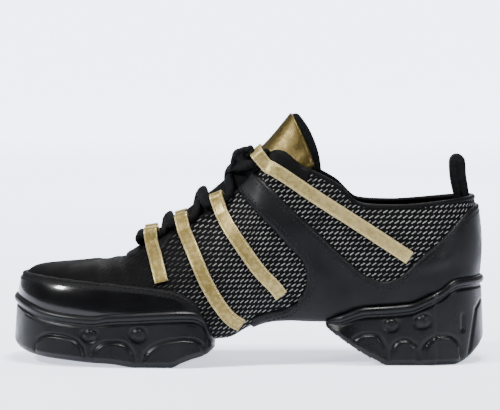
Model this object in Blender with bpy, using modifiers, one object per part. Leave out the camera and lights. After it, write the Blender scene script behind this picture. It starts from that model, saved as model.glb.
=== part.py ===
"""Split-sole jazz shoe for the left foot, women's EU 38.

The toe points to -X, the outer side faces -Y and the shoe stands on Z = 0.
All sizes are in millimetres and are scaled to metres when a mesh is made.
"""
import bpy
import bmesh
from math import asin, cos, hypot, pi, radians, sin
from mathutils import Matrix, Vector

MM = 0.001

# Driving sizes of the last and of the walls
TOE_TIP_X = -128.6
HEEL_TIP_X = 127.9
TOE_ROUND = 57.0
TOE_POWER = 2.45
TOE_RIDGE = 38.0
HEEL_ROUND = 36.0
HEEL_POWER = 2.2
HEEL_SPINE = 13.0
COLLAR_ROUND = 35.2
WALL = 2.0
LASTING_MARGIN = 9.0
ARCH_FRONT_X = -24.0
ARCH_REAR_X = 50.0
MEETING_GAP = 0.35
THIN_END_GAP = 1.3
OVERLAY_LIFT = 0.5
OVERLAY_THICK = 1.2
STRAP_THICK = 1.6
STRAP_LIFT = 0.65
STRAP_WIDTH = 7.6
STRAP_CLEAR = 0.6
INSOLE_THICK = 3.0
INSOLE_INSET = 0.6
LACE_THICK = 3.4
SIDE_SHIFT = -1.57

TOE_CENTRE_X = TOE_TIP_X + TOE_ROUND
HEEL_CENTRE_X = HEEL_TIP_X - HEEL_ROUND

# The last, a row for each cross section from toe to heel.
# floor, girth and top are heights; centre is the middle line's Y; outer and inner are
# half widths at the girth; wrap is the rounding under the girth; gap is the half width of the
# opening at the top; turn is the angle through which the wall leans in; full is how square the
# section is; belly is the wall's swell half way up.
LAST_COLUMNS = ("x", "floor", "girth", "centre", "outer", "inner", "wrap",
                "top", "gap", "turn", "full", "belly")
LAST = (
    (-129, 24.0, 34.0, 6.0, 41.0, 39.0, 7.0, 51.4, 0.0, 90, 3.0, 0.0),
    (-110, 19.5, 29.4, 5.5, 43.0, 41.0, 7.0, 53.8, 0.0, 90, 3.0, 0.0),
    (-90, 16.5, 26.0, 4.5, 44.5, 43.0, 7.0, 55.4, 0.0, 90, 3.0, 0.0),
    (-72, 14.6, 23.5, 3.4, 45.5, 44.2, 7.0, 57.6, 0.0, 90, 2.8, 0.0),
    (-66, 14.2, 23.0, 3.0, 46.0, 44.2, 7.0, 60.4, 0.0, 88, 2.6, 0.0),
    (-63, 14.0, 22.8, 2.8, 46.2, 44.2, 7.0, 62.2, 5.0, 82, 2.5, 0.0),
    (-57, 14.0, 22.5, 2.5, 46.5, 44.0, 7.0, 65.6, 9.0, 74, 2.3, 0.0),
    (-44, 14.0, 22.5, 1.8, 46.5, 42.5, 8.0, 72.2, 12.0, 66, 2.2, 0.0),
    (-27, 14.4, 25.0, 0.8, 44.0, 38.5, 10.0, 81.0, 14.0, 58, 2.1, 0.3),
    (-12, 15.0, 30.0, 0.0, 40.5, 33.8, 13.0, 91.0, 16.0, 50, 2.0, 0.5),
    (0, 20.6, 36.6, -0.4, 37.4, 30.6, 15.0, 102.0, 18.0, 43, 2.0, 0.7),
    (8, 23.8, 40.0, -0.6, 35.6, 29.2, 15.0, 113.0, 20.0, 39, 2.0, 0.8),
    (16, 25.0, 41.0, -0.6, 34.2, 28.4, 15.0, 119.2, 22.0, 35, 2.0, 0.9),
    (24, 25.2, 41.0, -0.6, 33.2, 28.2, 15.0, 114.8, 23.6, 32, 2.0, 1.0),
    (29, 25.0, 40.7, -0.6, 32.9, 28.4, 14.6, 110.2, 24.4, 30.5, 2.0, 1.1),
    (34, 24.8, 40.2, -0.5, 32.6, 28.6, 14.0, 108.4, 25.2, 29, 2.0, 1.2),
    (50, 24.8, 37.6, -0.3, 32.2, 29.8, 11.0, 99.8, 26.6, 26, 2.0, 1.5),
    (60, 26.6, 37.5, -0.2, 32.0, 30.6, 9.0, 90.4, 27.2, 26, 2.0, 1.6),
    (69, 28.2, 38.0, 0.0, 32.0, 31.0, 8.0, 88.8, 27.6, 26, 2.0, 1.7),
    (82, 29.6, 39.0, 0.0, 31.8, 31.2, 7.0, 88.5, 28.0, 26, 2.0, 1.8),
    (95, 30.6, 40.0, 0.0, 31.6, 31.4, 7.0, 89.2, 28.2, 26, 2.0, 2.0),
    (112, 31.4, 41.0, 0.0, 31.6, 31.6, 7.0, 91.0, 28.2, 26, 2.0, 2.2),
    (131, 32.0, 41.5, 0.0, 31.6, 31.6, 7.0, 93.2, 28.2, 26, 2.0, 2.4),
)

# Plan angles of the fanned sections, from the tip (0) to the parallel ones (90)
TOE_FAN = (0, 11, 22, 33, 45, 58, 73, 90)
HEEL_FAN = (90, 74, 58, 43, 28, 14, 0)
PARALLEL_X = (-66, -63, -57, -50, -43, -35, -28, -24, -22, -20, -18, -11, -3, 5, 11, 16, 22, 29, 36, 43,
              51, 60, 71, 82)
WRAP_STEPS = 2
WALL_STEPS = 6

# The sole units along their length: rim is the top of the bead, tread is the underside
SOLE_COLUMNS = ("x", "rim", "tread")
FOREFOOT_SOLE = (
    (-133, 39.0, 15.4),
    (-128.5, 37.6, 8.8),
    (-122, 34.6, 6.1),
    (-113, 31.2, 4.5),
    (-100, 29.2, 3.4),
    (-86, 28.3, 2.3),
    (-77, 29.6, 1.9),
    (-62, 30.4, 0.0),
    (-43, 31.4, 0.0),
    (-37, 31.6, 2.6),
    (-31, 31.4, 4.8),
    (-26, 29.6, 6.3),
    (-22, 22.4, 8.5),
    (-18, 14.2, 11.6),
)
HEEL_SOLE = (
    (43, 24.9, 21.0),
    (53, 28.8, 13.8),
    (65, 32.6, 6.0),
    (73, 33.1, 2.0),
    (77, 33.3, 0.0),
    (90, 34.6, 0.0),
    (99, 38.4, 0.0),
    (106.5, 42.4, 0.0),
    (113, 47.4, 0.0),
    (118, 48.4, 1.6),
    (125, 48.6, 7.4),
    (131, 48.6, 17.0),
)

# Profile of a sole's side below its rim: out is measured from the cup's edge, down from the rim.
# Both shrink where the unit runs out to a thin end.
RIM_PROFILE = ((0.2, 0.9), (1.2, 0.0), (2.4, 0.9), (2.8, 2.4), (2.4, 3.9), (1.3, 4.7),
               (1.3, 5.9), (2.3, 7.0))
FULL_SIDE = 13.0
TREAD_EDGE_OUT = 3.4
TREAD_EDGE_UP = 3.2
TREAD_INSET = 1.2

# Raised arches on the sides of the soles, from front to rear, and round studs
ARCH_COLUMNS = ("front", "rear", "foot", "crown", "lean")
FOREFOOT_ARCHES = (
    (-119, -91, 1.4, 16.6, -1.5),
    (-86, -63.5, 1.2, 13.8, 0.0),
    (-58, -24.5, 1.2, 15.0, 2.4),
)
HEEL_ARCHES = (
    (58.5, 76, 1.4, 17.2, 0.0),
    (79.5, 93.5, 1.2, 14.0, 0.0),
    (96.5, 118, 1.4, 16.2, 1.0),
)
FOREFOOT_STUDS = ((-88.0, 18.0), (-60.7, 18.6))
HEEL_STUDS = ((79.4, 23.2), (97.0, 25.0))
STUD_RADIUS = 3.2
LUG_RAISE = 1.1
LUG_ROOT = 1.6
ARCH_POWER = 2.6
ARCH_POINTS = 8
STUD_POINTS = 8

# Seams in side view, as (x, z) pairs: the toe cap's upper edge, and the counter's front edge
# up to the throat and its rear edge round the panel under the collar
TOE_CAP_SEAM = ((-140, 50.2), (-121, 49.6), (-112, 48.9), (-104, 48.2), (-86, 46.8), (-68, 45.4),
                (-52, 44.0), (-41, 42.2), (-34, 39.4), (-29, 35.8), (-26.6, 32.4))
COUNTER_FRONT = ((1.4, 8.0), (1.4, 26.4), (7, 29.0), (14, 30.8), (21, 32.4), (28.2, 37.6), (31.4, 43.5),
                 (32.2, 50.0), (30.6, 56.0), (28, 60.0), (20.6, 67.8), (12, 77.0), (3, 86.0), (-6, 96.0),
                 (-12, 104.0))
COUNTER_REAR = ((-2, 114.0), (7.6, 104.0), (14.4, 97.0), (24, 87.6), (33.6, 79.0), (42.7, 70.6),
                (53.4, 60.5), (63, 52.0), (70, 48.2), (77, 46.9), (85, 50.3), (94, 59.3), (107, 70.0),
                (119.5, 83.0), (128, 89.0), (140, 96.0))
ARCH_SKIN_REAR = 42.3
SEAM_TO_RIM = 0.6
CUTTER_DEPTH = 90.0
CROSSING_DEPTH = 95.0
OUTLINE_END_X = 140.0

# Straps in side view: path points (x, z) from the lower end to the throat edge, the height that
# the loop rises over that edge, how far it leans in, and where the lace's halves cross below it: how
# far along from the loop before, and how high over the tongue
STRAPS = (
    {"path": ((-47.9, 46.6), (-49.6, 53.0), (-51.6, 60.0), (-53.6, 65.8)), "rise": 4.6, "lean": 0.1},
    {"path": ((-4.6, 23.6), (-8.6, 26.0), (-12.4, 29.4), (-18, 37.0), (-24, 47.7), (-28.5, 57.9),
              (-32.5, 67.0), (-35.6, 73.6)), "rise": 6.2, "lean": 0.35, "cross": (0.5, 5.2)},
    {"path": ((18.2, 39.2), (14.1, 44.4), (5.9, 53.0), (-3.4, 66.0), (-10.6, 76.5), (-14.6, 84.0)),
     "rise": 8.0, "lean": 0.3, "cross": (0.5, 5.2)},
    {"path": ((89.6, 60.0), (79.7, 66.4), (67.2, 74.4), (51, 84.6), (34, 95.6), (18, 106.2),
              (10.8, 110.4)), "rise": 6.2, "lean": 0.15, "cross": (0.08, 3.8)},
)
LOOP_RADIUS = 3.7
LOOP_TURN = 200
LOOP_STEPS = 5

# The tongue, a row for each arched section from the vamp to its top: x and z of the crown,
# side_x and side_z of its edges, half its width, and its thickness
TONGUE = (
    (-77, 51.0, -75, 44.0, 15.0, 2.6),
    (-60, 61.8, -56, 47.0, 18.5, 3.2),
    (-44, 75.0, -38, 54.0, 20.5, 3.8),
    (-20, 93.5, -10, 68.0, 22.0, 4.6),
    (0, 112.0, 14, 86.0, 22.0, 5.6),
    (12.0, 123.6, 26.6, 98.0, 21.0, 6.4),
    (22.4, 136.0, 35.6, 106.6, 19.5, 6.8),
    (24.6, 138.6, 37.6, 107.2, 18.0, 5.8),
    (27.8, 138.9, 39.6, 107.6, 17.0, 4.4),
    (29.8, 136.8, 40.6, 108.2, 15.5, 2.4),
)
TONGUE_STEPS = 8

# The pull loop's free leg in side view, its tape and how deep it is sewn into the collar
PULL_LOOP_FREE = ((121.2, 98.5), (120.2, 104.5), (119.8, 111.4), (119.1, 113.4), (117.7, 114.0),
                  (116.2, 113.4), (115.5, 111.4), (115.8, 104.5), (116.8, 98.5))
TAPE_WIDTH = 12.0
TAPE_THICK = 3.5
SEWN_DEPTH = 12.0
SEWN_GAP = 1.3
SEWN_TOP = 1.0

# The lace: the steps of its rounding, how far it runs straight through a loop, how far its first bar
# bows to the toe, and its knot's middle, size and tilt
LACE_ROUNDING = 1
LACE_RUN = 6.4
BAR_BOW = 1.5
KNOT_CENTRE = (-4.4, -2.0, 115.2)
KNOT_SIZE = (15.0, 17.0, 11.0)
KNOT_TILT = -46.0
KNOT_ROUND = 0.86
END_GAP = 0.6

# The first bar's halves meet past its middle and bow less at its shoulder; a lace end turns up
# behind the last loop and rises between it and the knot
BAR_REACH = 0.55
BAR_SHOULDER = 0.25
SHOULDER_BOW = 0.8
END_RUN = 4.0
END_TURN = (-0.6, 2.0, 0.4)
END_RISE = (4.0, 0.0, 5.6)
END_SIDE = 0.2


def smooth(table, columns, name, x):
    """Read a column at x with a cubic that keeps the table's flats and peaks."""
    xs = [row[0] for row in table]
    ys = [row[columns.index(name)] for row in table]
    x = min(max(x, xs[0]), xs[-1])
    rises = [(ys[i + 1] - ys[i]) / (xs[i + 1] - xs[i]) for i in range(len(xs) - 1)]
    slopes = [rises[0]]
    for before, after in zip(rises, rises[1:]):
        slopes.append(2 * before * after / (before + after) if before * after > 0 else 0.0)
    slopes.append(rises[-1])
    i = max(k for k in range(len(xs) - 1) if xs[k] <= x)
    span = xs[i + 1] - xs[i]
    t = (x - xs[i]) / span
    return (ys[i] * (1 + 2 * t) * (1 - t) ** 2 + ys[i + 1] * t * t * (3 - 2 * t)
            + span * (slopes[i] * t * (1 - t) ** 2 - slopes[i + 1] * t * t * (1 - t)))


def last(name, x):
    """A size of the last at x."""
    return smooth(LAST, LAST_COLUMNS, name, x)


def middle_y(x):
    """The middle line's Y, with the whole shoe centred on its width."""
    return last("centre", x) + SIDE_SHIFT


def lifted(plan, z):
    """A plan point at a height."""
    return Vector((plan.x, plan.y, z))


class Station:
    """One half section: where its wall starts and where it ends, in plan."""

    def __init__(self, side, foot_x, foot_end, head_x, head_end, spine_x):
        self.sign = -1.0 if side == "outer" else 1.0
        self.foot_x = foot_x
        self.foot = Vector((foot_x, middle_y(foot_x) + self.sign * last(side, foot_x) * foot_end))
        self.spine = Vector((spine_x, middle_y(spine_x)))
        self.head = Vector((head_x, middle_y(head_x) + self.sign * last("gap", head_x) * head_end))
        self.out = (self.foot - self.spine).normalized()
        self.girth = last("girth", foot_x)
        self.wrap = last("wrap", foot_x)
        self.floor = last("floor", foot_x - self.out.x * self.wrap)
        self.top = last("top", head_x)
        self.turn = radians(last("turn", head_x))
        self.power = 2.0 / last("full", head_x)
        self.belly = last("belly", head_x)

    def lean(self, angle):
        """Distance out from the head edge, as a share of the span, and the rise, as a share."""
        end = cos(self.turn) ** self.power if self.turn < pi / 2 - 1e-6 else 0.0
        across = (max(cos(angle), 0.0) ** self.power - end) / (1.0 - end)
        rise = (sin(angle) / sin(self.turn)) ** self.power
        return across, rise

    def wall(self, angle):
        """The wall's plan point and height, at an angle of its lean."""
        across, rise = self.lean(angle)
        plan = self.head.lerp(self.foot, across) + self.out * (self.belly * sin(pi * rise))
        return plan, self.girth + (self.top - self.girth) * rise

    def plan_at(self, z, clear=0.0):
        """The outer face's plan point at height z, moved out by a clearance."""
        if z <= self.girth:
            drop = min((self.girth - z) / (self.girth - self.floor + clear), 1.0)
            return self.foot + self.out * ((self.wrap + clear) * (1 - drop * drop) ** 0.5 - self.wrap)
        rise = min((z - self.girth) / (self.top - self.girth), 1.0)
        angle = asin(min(rise ** (1 / self.power) * sin(self.turn), 1.0))
        return self.wall(angle)[0] + self.out * clear

    def at(self, out, z):
        """A point of this section: out from the girth line, at height z."""
        return lifted(self.foot + self.out * out, z)

    def arched(self):
        return ARCH_FRONT_X <= self.foot_x <= ARCH_REAR_X

    def upper_points(self):
        """The upper's outer face from its lower edge to its top edge."""
        inner_edge = self.at(-self.wrap - LASTING_MARGIN, 0.0)
        if self.arched():
            inner_edge = lifted(self.spine, 0.0)
        inner_edge.z = last("floor", inner_edge.x)
        points = [inner_edge]
        for k in range(WRAP_STEPS + 1):
            angle = pi / 2 * (1 - k / (WRAP_STEPS + 1))
            out = self.wrap * (cos(angle) - 1)
            points.append(self.at(out, self.girth - (self.girth - self.floor) * sin(angle)))
        for k in range(WALL_STEPS + 1):
            points.append(lifted(*self.wall(self.turn * k / WALL_STEPS)))
        return points


def stations(side):
    """All half sections of one side from the toe tip to the heel tip."""
    found = []
    for degrees in TOE_FAN:
        forward = cos(radians(degrees)) ** (2 / TOE_POWER) if degrees < 90 else 0.0
        end = sin(radians(degrees)) ** (2 / TOE_POWER)
        ridge_x = TOE_CENTRE_X - TOE_RIDGE * forward
        found.append(Station(side, TOE_CENTRE_X - TOE_ROUND * forward, end, ridge_x, 1.0, ridge_x))
    for x in PARALLEL_X:
        found.append(Station(side, x, 1.0, x, 1.0, x))
    for degrees in HEEL_FAN:
        back = cos(radians(degrees)) ** (2 / HEEL_POWER) if degrees < 90 else 0.0
        end = sin(radians(degrees)) ** (2 / HEEL_POWER)
        found.append(Station(side, HEEL_CENTRE_X + HEEL_ROUND * back, end,
                             HEEL_CENTRE_X + COLLAR_ROUND * back, end, HEEL_CENTRE_X + HEEL_SPINE * back))
    return found


SIDES = ("outer", "inner")
SECTIONS = {side: stations(side) for side in SIDES}


# Helpers that turn points into meshes and objects

def finish(name, colour, roughness, metallic=0.0):
    """A plain material."""
    material = bpy.data.materials.new(name)
    material.use_nodes = True
    shader = material.node_tree.nodes["Principled BSDF"]
    shader.inputs["Base Color"].default_value = (*colour, 1.0)
    shader.inputs["Roughness"].default_value = roughness
    shader.inputs["Metallic"].default_value = metallic
    return material


def new_object(name, work, collection, material=None):
    """Put a bmesh, made in millimetres, into an object in metres."""
    bmesh.ops.scale(work, vec=(MM, MM, MM), verts=work.verts)
    mesh = bpy.data.meshes.new(name)
    work.to_mesh(mesh)
    work.free()
    item = bpy.data.objects.new(name, mesh)
    collection.objects.link(item)
    if material:
        mesh.materials.append(material)
    return item


def skin(work, rows, flip=False, closed=False):
    """Faces between neighbouring rows of points; closed rows are rings."""
    made = [[work.verts.new(point) for point in row] for row in rows]
    for first, second in zip(made, made[1:]):
        count = len(first)
        for j in range(count if closed else count - 1):
            k = (j + 1) % count
            corners = [first[j], second[j], second[k], first[k]]
            work.faces.new(corners[::-1] if flip else corners)
    return made


def weld(work, distance=0.01):
    bmesh.ops.remove_doubles(work, verts=work.verts, dist=distance)
    bmesh.ops.dissolve_degenerate(work, edges=work.edges, dist=distance)


def ring_solid(rings):
    """A closed bmesh through rings of points, with both ends filled."""
    work = bmesh.new()
    made = skin(work, rings, closed=True)
    work.faces.new(made[0][::-1])
    work.faces.new(made[-1])
    bmesh.ops.recalc_face_normals(work, faces=work.faces)
    return work


def prism(name, outline, half_depth, collection):
    """A side-view outline of (x, z) pairs carried right across the shoe, as a hidden cutter."""
    work = bmesh.new()
    face = work.faces.new([work.verts.new((x, -half_depth, z)) for x, z in outline])
    grown = bmesh.ops.extrude_face_region(work, geom=[face])
    moved = [item for item in grown["geom"] if isinstance(item, bmesh.types.BMVert)]
    bmesh.ops.translate(work, vec=(0, 2 * half_depth, 0), verts=moved)
    bmesh.ops.recalc_face_normals(work, faces=work.faces)
    return hide(new_object(name, work, collection))


def hide(item):
    item.hide_render = True
    item.display_type = "WIRE"
    return item


def boolean(item, operation, cutter):
    modifier = item.modifiers.new(operation.lower(), "BOOLEAN")
    modifier.operation = operation
    modifier.solver = "EXACT"
    modifier.object = cutter


def solidify(item, thickness, offset):
    modifier = item.modifiers.new("wall", "SOLIDIFY")
    modifier.thickness = thickness * MM
    modifier.offset = offset
    modifier.use_even_offset = True


def upper_surface(lift=0.0):
    """The upper's outer face as an open bmesh, lifted off by a distance."""
    work = bmesh.new()
    for side in SIDES:
        rows = [station.upper_points() for station in SECTIONS[side]]
        skin(work, rows, flip=(side == "inner"))
    weld(work)
    work.normal_update()
    for vertex in work.verts:
        vertex.co += vertex.normal * lift
    return work


def build_upper(parts, material):
    upper = new_object("upper", upper_surface(), parts, material)
    solidify(upper, WALL, -1.0)
    return upper


def sole_points(station, table):
    """Half profile of a sole unit: cup floor, cup wall, rim, side and tread."""
    rim = smooth(table, SOLE_COLUMNS, "rim", station.foot_x)
    tread = smooth(table, SOLE_COLUMNS, "tread", station.foot_x)
    clear = MEETING_GAP if rim > station.girth else THIN_END_GAP
    low = station.floor - clear
    middle_floor = last("floor", station.spine.x) - clear
    points = [lifted(station.spine, middle_floor)]
    depth = station.girth - low
    rim_angle = asin(min(max(station.girth - rim, 0.0) / depth, 1.0))
    for k in range(WRAP_STEPS + 2):
        angle = max(pi / 2 * (1 - k / (WRAP_STEPS + 1)), rim_angle)
        out = (station.wrap + clear) * cos(angle) - station.wrap
        points.append(station.at(out, station.girth - depth * sin(angle)))
    share = min((rim - tread) / FULL_SIDE, 1.0)
    edge = station.plan_at(rim, clear)
    for out, down in RIM_PROFILE:
        points.append(lifted(edge + station.out * out * share, rim - down * share))
    tread_edge = edge + station.out * TREAD_EDGE_OUT * share
    points.append(lifted(tread_edge, tread + TREAD_EDGE_UP * share))
    points.append(lifted(edge + station.out * TREAD_INSET * share, tread))
    points.append(lifted(station.spine, smooth(table, SOLE_COLUMNS, "tread", station.spine.x)))
    return points


def build_sole(name, table, parts, material):
    work = bmesh.new()
    for side in SIDES:
        chosen = [s for s in SECTIONS[side] if table[0][0] <= s.foot_x <= table[-1][0]]
        skin(work, [sole_points(s, table) for s in chosen], flip=(side == "outer"))
    weld(work)
    bmesh.ops.holes_fill(work, edges=[edge for edge in work.edges if edge.is_boundary])
    bmesh.ops.recalc_face_normals(work, faces=work.faces)
    return new_object(name, work, parts, material)


def wall_point(side, table, x, z):
    """The sole's side at x and z, and the outward direction there."""
    chosen = [s for s in SECTIONS[side] if table[0][0] <= s.foot_x <= table[-1][0]]
    walls = []
    for station in chosen:
        rim = smooth(table, SOLE_COLUMNS, "rim", station.foot_x)
        tread = smooth(table, SOLE_COLUMNS, "tread", station.foot_x)
        clear = MEETING_GAP if rim > station.girth else THIN_END_GAP
        share = min((rim - tread) / FULL_SIDE, 1.0)
        high = rim - RIM_PROFILE[-1][1] * share
        low = tread + TREAD_EDGE_UP * share
        t = min(max((z - low) / max(high - low, 0.1), 0.0), 1.0)
        out = TREAD_EDGE_OUT + (RIM_PROFILE[-1][0] - TREAD_EDGE_OUT) * t
        walls.append((lifted(station.plan_at(rim, clear) + station.out * out * share, z), station.out))
    for (first, way_a), (second, way_b) in zip(walls, walls[1:]):
        if first.x <= x <= second.x:
            t = (x - first.x) / (second.x - first.x)
            way = way_a.lerp(way_b, t).normalized()
            return first.lerp(second, t), Vector((way.x, way.y, 0.0))
    raise ValueError("no sole side at %.1f" % x)


def arch_outline(table, front, rear, foot, crown, lean):
    """An arch in side view that stands on the tread's edge."""
    points = []
    for k in range(ARCH_POINTS):
        t = k / (ARCH_POINTS - 1)
        x = front + (rear - front) * t
        low = smooth(table, SOLE_COLUMNS, "tread", x) + foot
        height = (1 - abs(2 * t - 1) ** ARCH_POWER) ** (1 / ARCH_POWER)
        points.append((x, low + (crown + lean * (2 * t - 1) - low) * height))
    for k in range(1, ARCH_POINTS - 1):
        x = rear + (front - rear) * k / (ARCH_POINTS - 1)
        points.append((x, smooth(table, SOLE_COLUMNS, "tread", x) + foot))
    return points


def stud_outline(x, z):
    turns = [2 * pi * k / STUD_POINTS for k in range(STUD_POINTS)]
    return [(x - STUD_RADIUS * cos(a), z + STUD_RADIUS * sin(a)) for a in turns]


def add_lug(work, side, table, outline):
    """A raised pad whose outline is laid on the sole's side."""
    middle_x = sum(x for x, z in outline) / len(outline)
    middle_z = sum(z for x, z in outline) / len(outline)
    rings = []
    for raise_by in (LUG_RAISE, -LUG_ROOT):
        ring = []
        for x, z in list(outline) + [(middle_x, middle_z)]:
            point, out = wall_point(side, table, x, z)
            ring.append(work.verts.new(point + out * raise_by))
        rings.append(ring)
    face_ring, root_ring = rings
    count = len(outline)
    made = []
    for j in range(count):
        k = (j + 1) % count
        made.append(work.faces.new((face_ring[j], face_ring[k], root_ring[k], root_ring[j])))
        made.append(work.faces.new((face_ring[k], face_ring[j], face_ring[count])))
        made.append(work.faces.new((root_ring[j], root_ring[k], root_ring[count])))
    bmesh.ops.recalc_face_normals(work, faces=made)


def add_lugs(sole, table, arches, studs, cutters):
    """Join the arches and studs of both sides to a sole."""
    work = bmesh.new()
    for side in SIDES:
        for arch in arches:
            add_lug(work, side, table, arch_outline(table, **dict(zip(ARCH_COLUMNS, arch))))
        for stud in studs:
            add_lug(work, side, table, stud_outline(*stud))
    lugs = hide(new_object(sole.name + "_lugs", work, cutters))
    boolean(sole, "UNION", lugs)


def build_insole(parts, material):
    work = bmesh.new()
    for side in SIDES:
        rows = []
        for station in SECTIONS[side]:
            edge = station.at(-station.wrap - INSOLE_INSET, 0.0)
            low = [lifted(p, last("floor", p.x) + WALL + MEETING_GAP) for p in (edge, station.spine)]
            thick = Vector((0.0, 0.0, INSOLE_THICK))
            rows.append([low[1] + thick, low[0] + thick, low[0], low[1]])
        skin(work, rows, flip=(side == "outer"))
    weld(work)
    return new_object("insole", work, parts, material)


def build_tongue(parts, material):
    rings = []
    for x, z, side_x, side_z, half, thick in TONGUE:
        crown = Vector((x, middle_y(x), z))
        fall = Vector((side_x - x, 0.0, side_z - z))
        down = fall.normalized()
        across = Vector((0.0, 1.0, 0.0))
        front, back = [], []
        for k in range(TONGUE_STEPS + 1):
            t = 2 * k / TONGUE_STEPS - 1
            point = crown + across * (half * t) + fall * (t * t)
            inward = (down * half - across * (2 * fall.length * t)).normalized()
            front.append(point)
            back.append(point + inward * thick)
        rings.append(front + back[::-1])
    return new_object("tongue", ring_solid(rings), parts, material)


def rim_line(table, start, end, step=4.0):
    """Points just over a sole's rim, from start to end in x."""
    count = max(int(abs(end - start) / step), 1)
    xs = [start + (end - start) * k / count for k in range(count + 1)]
    return [(x, smooth(table, SOLE_COLUMNS, "rim", x) + SEAM_TO_RIM) for x in xs]


def build_overlay(name, outline, parts, cutters, material):
    """A leather panel: the part of a thin shell over the upper that lies inside an outline."""
    panel = new_object(name, upper_surface(OVERLAY_LIFT), parts, material)
    solidify(panel, OVERLAY_THICK, 1.0)
    block = prism(name + "_outline", outline, CUTTER_DEPTH, cutters)
    boolean(panel, "INTERSECT", block)
    return block


def strap_band(strap, margin):
    """A strap's outline in side view, widened by a margin."""
    path = [Vector(pair) for pair in strap["path"]]
    path.append(path[-1] * 2 - path[-2])
    edges = ([], [])
    for k, point in enumerate(path):
        along = (path[min(k + 1, len(path) - 1)] - path[max(k - 1, 0)]).normalized()
        across = Vector((-along.y, along.x)) * (STRAP_WIDTH / 2 + margin)
        start = along * -margin if k == 0 else Vector((0.0, 0.0))
        edges[0].append(tuple(point + start + across))
        edges[1].append(tuple(point + start - across))
    return edges[0] + edges[1][::-1]


def surface_point(side, x, z):
    """A point of the upper's outer face in side view."""
    station = Station(side, x, 1.0, x, 1.0, x)
    return lifted(station.plan_at(z), z)


def surface_normal(side, x, z, step=0.3):
    """The outward direction of the upper's side."""
    along = surface_point(side, x + step, z) - surface_point(side, x - step, z)
    up = surface_point(side, x, z + step) - surface_point(side, x, z - step)
    normal = along.cross(up).normalized()
    return normal if side == "outer" else -normal


def finer(path, pieces=2):
    """A smooth curve through path points, with more points."""
    ends = [path[0] * 2 - path[1], *path, path[-1] * 2 - path[-2]]
    points = []
    for a, b, c, d in zip(ends, ends[1:], ends[2:], ends[3:]):
        for k in range(pieces):
            t = k / pieces
            points.append((b * 2 + (c - a) * t + (a * 2 - b * 5 + c * 4 - d) * t ** 2
                           + (b * 3 - a - c * 3 + d) * t ** 3) / 2)
    return points + [path[-1]]


def strap_rings(side, strap):
    """Flat four-cornered sections along a strap, up its panel and round its loop."""
    path = finer([Vector(pair) for pair in strap["path"]])
    rows = []
    for k, (x, z) in enumerate(path):
        before, after = path[max(k - 1, 0)], path[min(k + 1, len(path) - 1)]
        normal = surface_normal(side, x, z)
        along = surface_point(side, *after) - surface_point(side, *before)
        across = along.cross(normal).normalized() * STRAP_WIDTH / 2
        row = []
        for share in (-1, 1):
            spot = (x + across.x * share, z + across.z * share)
            row.append((surface_point(side, *spot) + normal * STRAP_LIFT, normal * STRAP_THICK))
        rows.append(row)
    rise, outward, hub = loop_frame(side, strap)
    through = rise.cross(outward).normalized()
    if through.dot(across) < 0:
        through.negate()
    across = through * STRAP_WIDTH / 2
    for k in range(LOOP_STEPS + 1):
        angle = radians(LOOP_TURN * k / LOOP_STEPS)
        spoke = outward * cos(angle) + rise * sin(angle)
        middle = hub + spoke * (LOOP_RADIUS - STRAP_THICK / 2)
        rows.append([(middle + across * share, spoke * STRAP_THICK) for share in (-1, 1)])
    return [[low for low, thick in row] + [low + thick for low, thick in row[::-1]] for row in rows]


def loop_frame(side, strap):
    """A strap loop's rising direction, its outward direction and its middle."""
    x, z = strap["path"][-1]
    last_x, last_z = strap["path"][-2]
    tip = surface_point(side, x, z)
    inward = Vector((0.0, 1.0 if side == "outer" else -1.0, 0.0))
    along = (tip - surface_point(side, last_x, last_z)).normalized()
    rise = (Vector((along.x, 0.0, 1.0)) + inward * strap["lean"]).normalized()
    across = along.cross(surface_normal(side, x, z))
    outward = across.cross(rise).normalized()
    if outward.dot(inward) > 0:
        outward.negate()
    foot = tip + surface_normal(side, x, z) * (STRAP_LIFT + STRAP_THICK / 2)
    return rise, outward, foot + rise * strap["rise"] - outward * LOOP_RADIUS


def build_straps(parts, material):
    for side in SIDES:
        for number, strap in enumerate(STRAPS, 1):
            work = ring_solid(strap_rings(side, strap))
            new_object("strap_%s_%d" % (side, number), work, parts, material)


def tongue_top(x):
    """Height of the tongue's crown at x."""
    return smooth(TONGUE, ("x", "z"), "z", x)


def loop_ends(side, strap):
    """Where the lace enters a strap's loop, its middle, and where it leaves."""
    rise, outward, hub = loop_frame(side, strap)
    through = rise.cross(outward).normalized() * LACE_RUN
    if through.x < 0:
        through.negate()
    return hub - through, hub, hub + through


def lace_route(first_side):
    """One half of the lace: from the middle of the first bar through a loop of each strap."""
    other = {"outer": "inner", "inner": "outer"}
    side = first_side
    enter = loop_ends(side, STRAPS[0])[0]
    opposite = loop_ends(other[side], STRAPS[0])[0]
    bow = Vector((-BAR_BOW, 0.0, 0.0))
    route = [enter.lerp(opposite, BAR_REACH) + bow,
             enter.lerp(opposite, BAR_SHOULDER) + bow * SHOULDER_BOW]
    for number, strap in enumerate(STRAPS):
        enter, middle, leave = loop_ends(side, strap)
        if number > 0:
            share, lift = strap["cross"]
            crossing = route[-1].lerp(enter, share)
            crossing.y = middle_y(crossing.x)
            crossing.z = max(tongue_top(crossing.x) + lift, crossing.z)
            route.append(crossing)
        route += [enter, middle, leave]
        side = other[side]
    return route


def lace_end_route(side):
    """From the rear of the last loop, over it, to the knot's side."""
    enter, middle, leave = loop_ends(side, STRAPS[-1])
    onward = (leave - middle).normalized()
    start = leave + onward * END_GAP
    knot = Vector(KNOT_CENTRE)
    reach = 1.0 if leave.y > knot.y else -1.0
    knot_side = reach * (KNOT_SIZE[1] * KNOT_ROUND / 2 + END_GAP)
    stop = knot + Vector((KNOT_SIZE[0] * END_SIDE, knot_side, 0.0))
    turn = Vector((END_TURN[0], -reach * END_TURN[1], END_TURN[2]))
    return [start, start + onward * END_RUN + turn, start.lerp(stop, 0.5) + Vector(END_RISE), stop]


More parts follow.
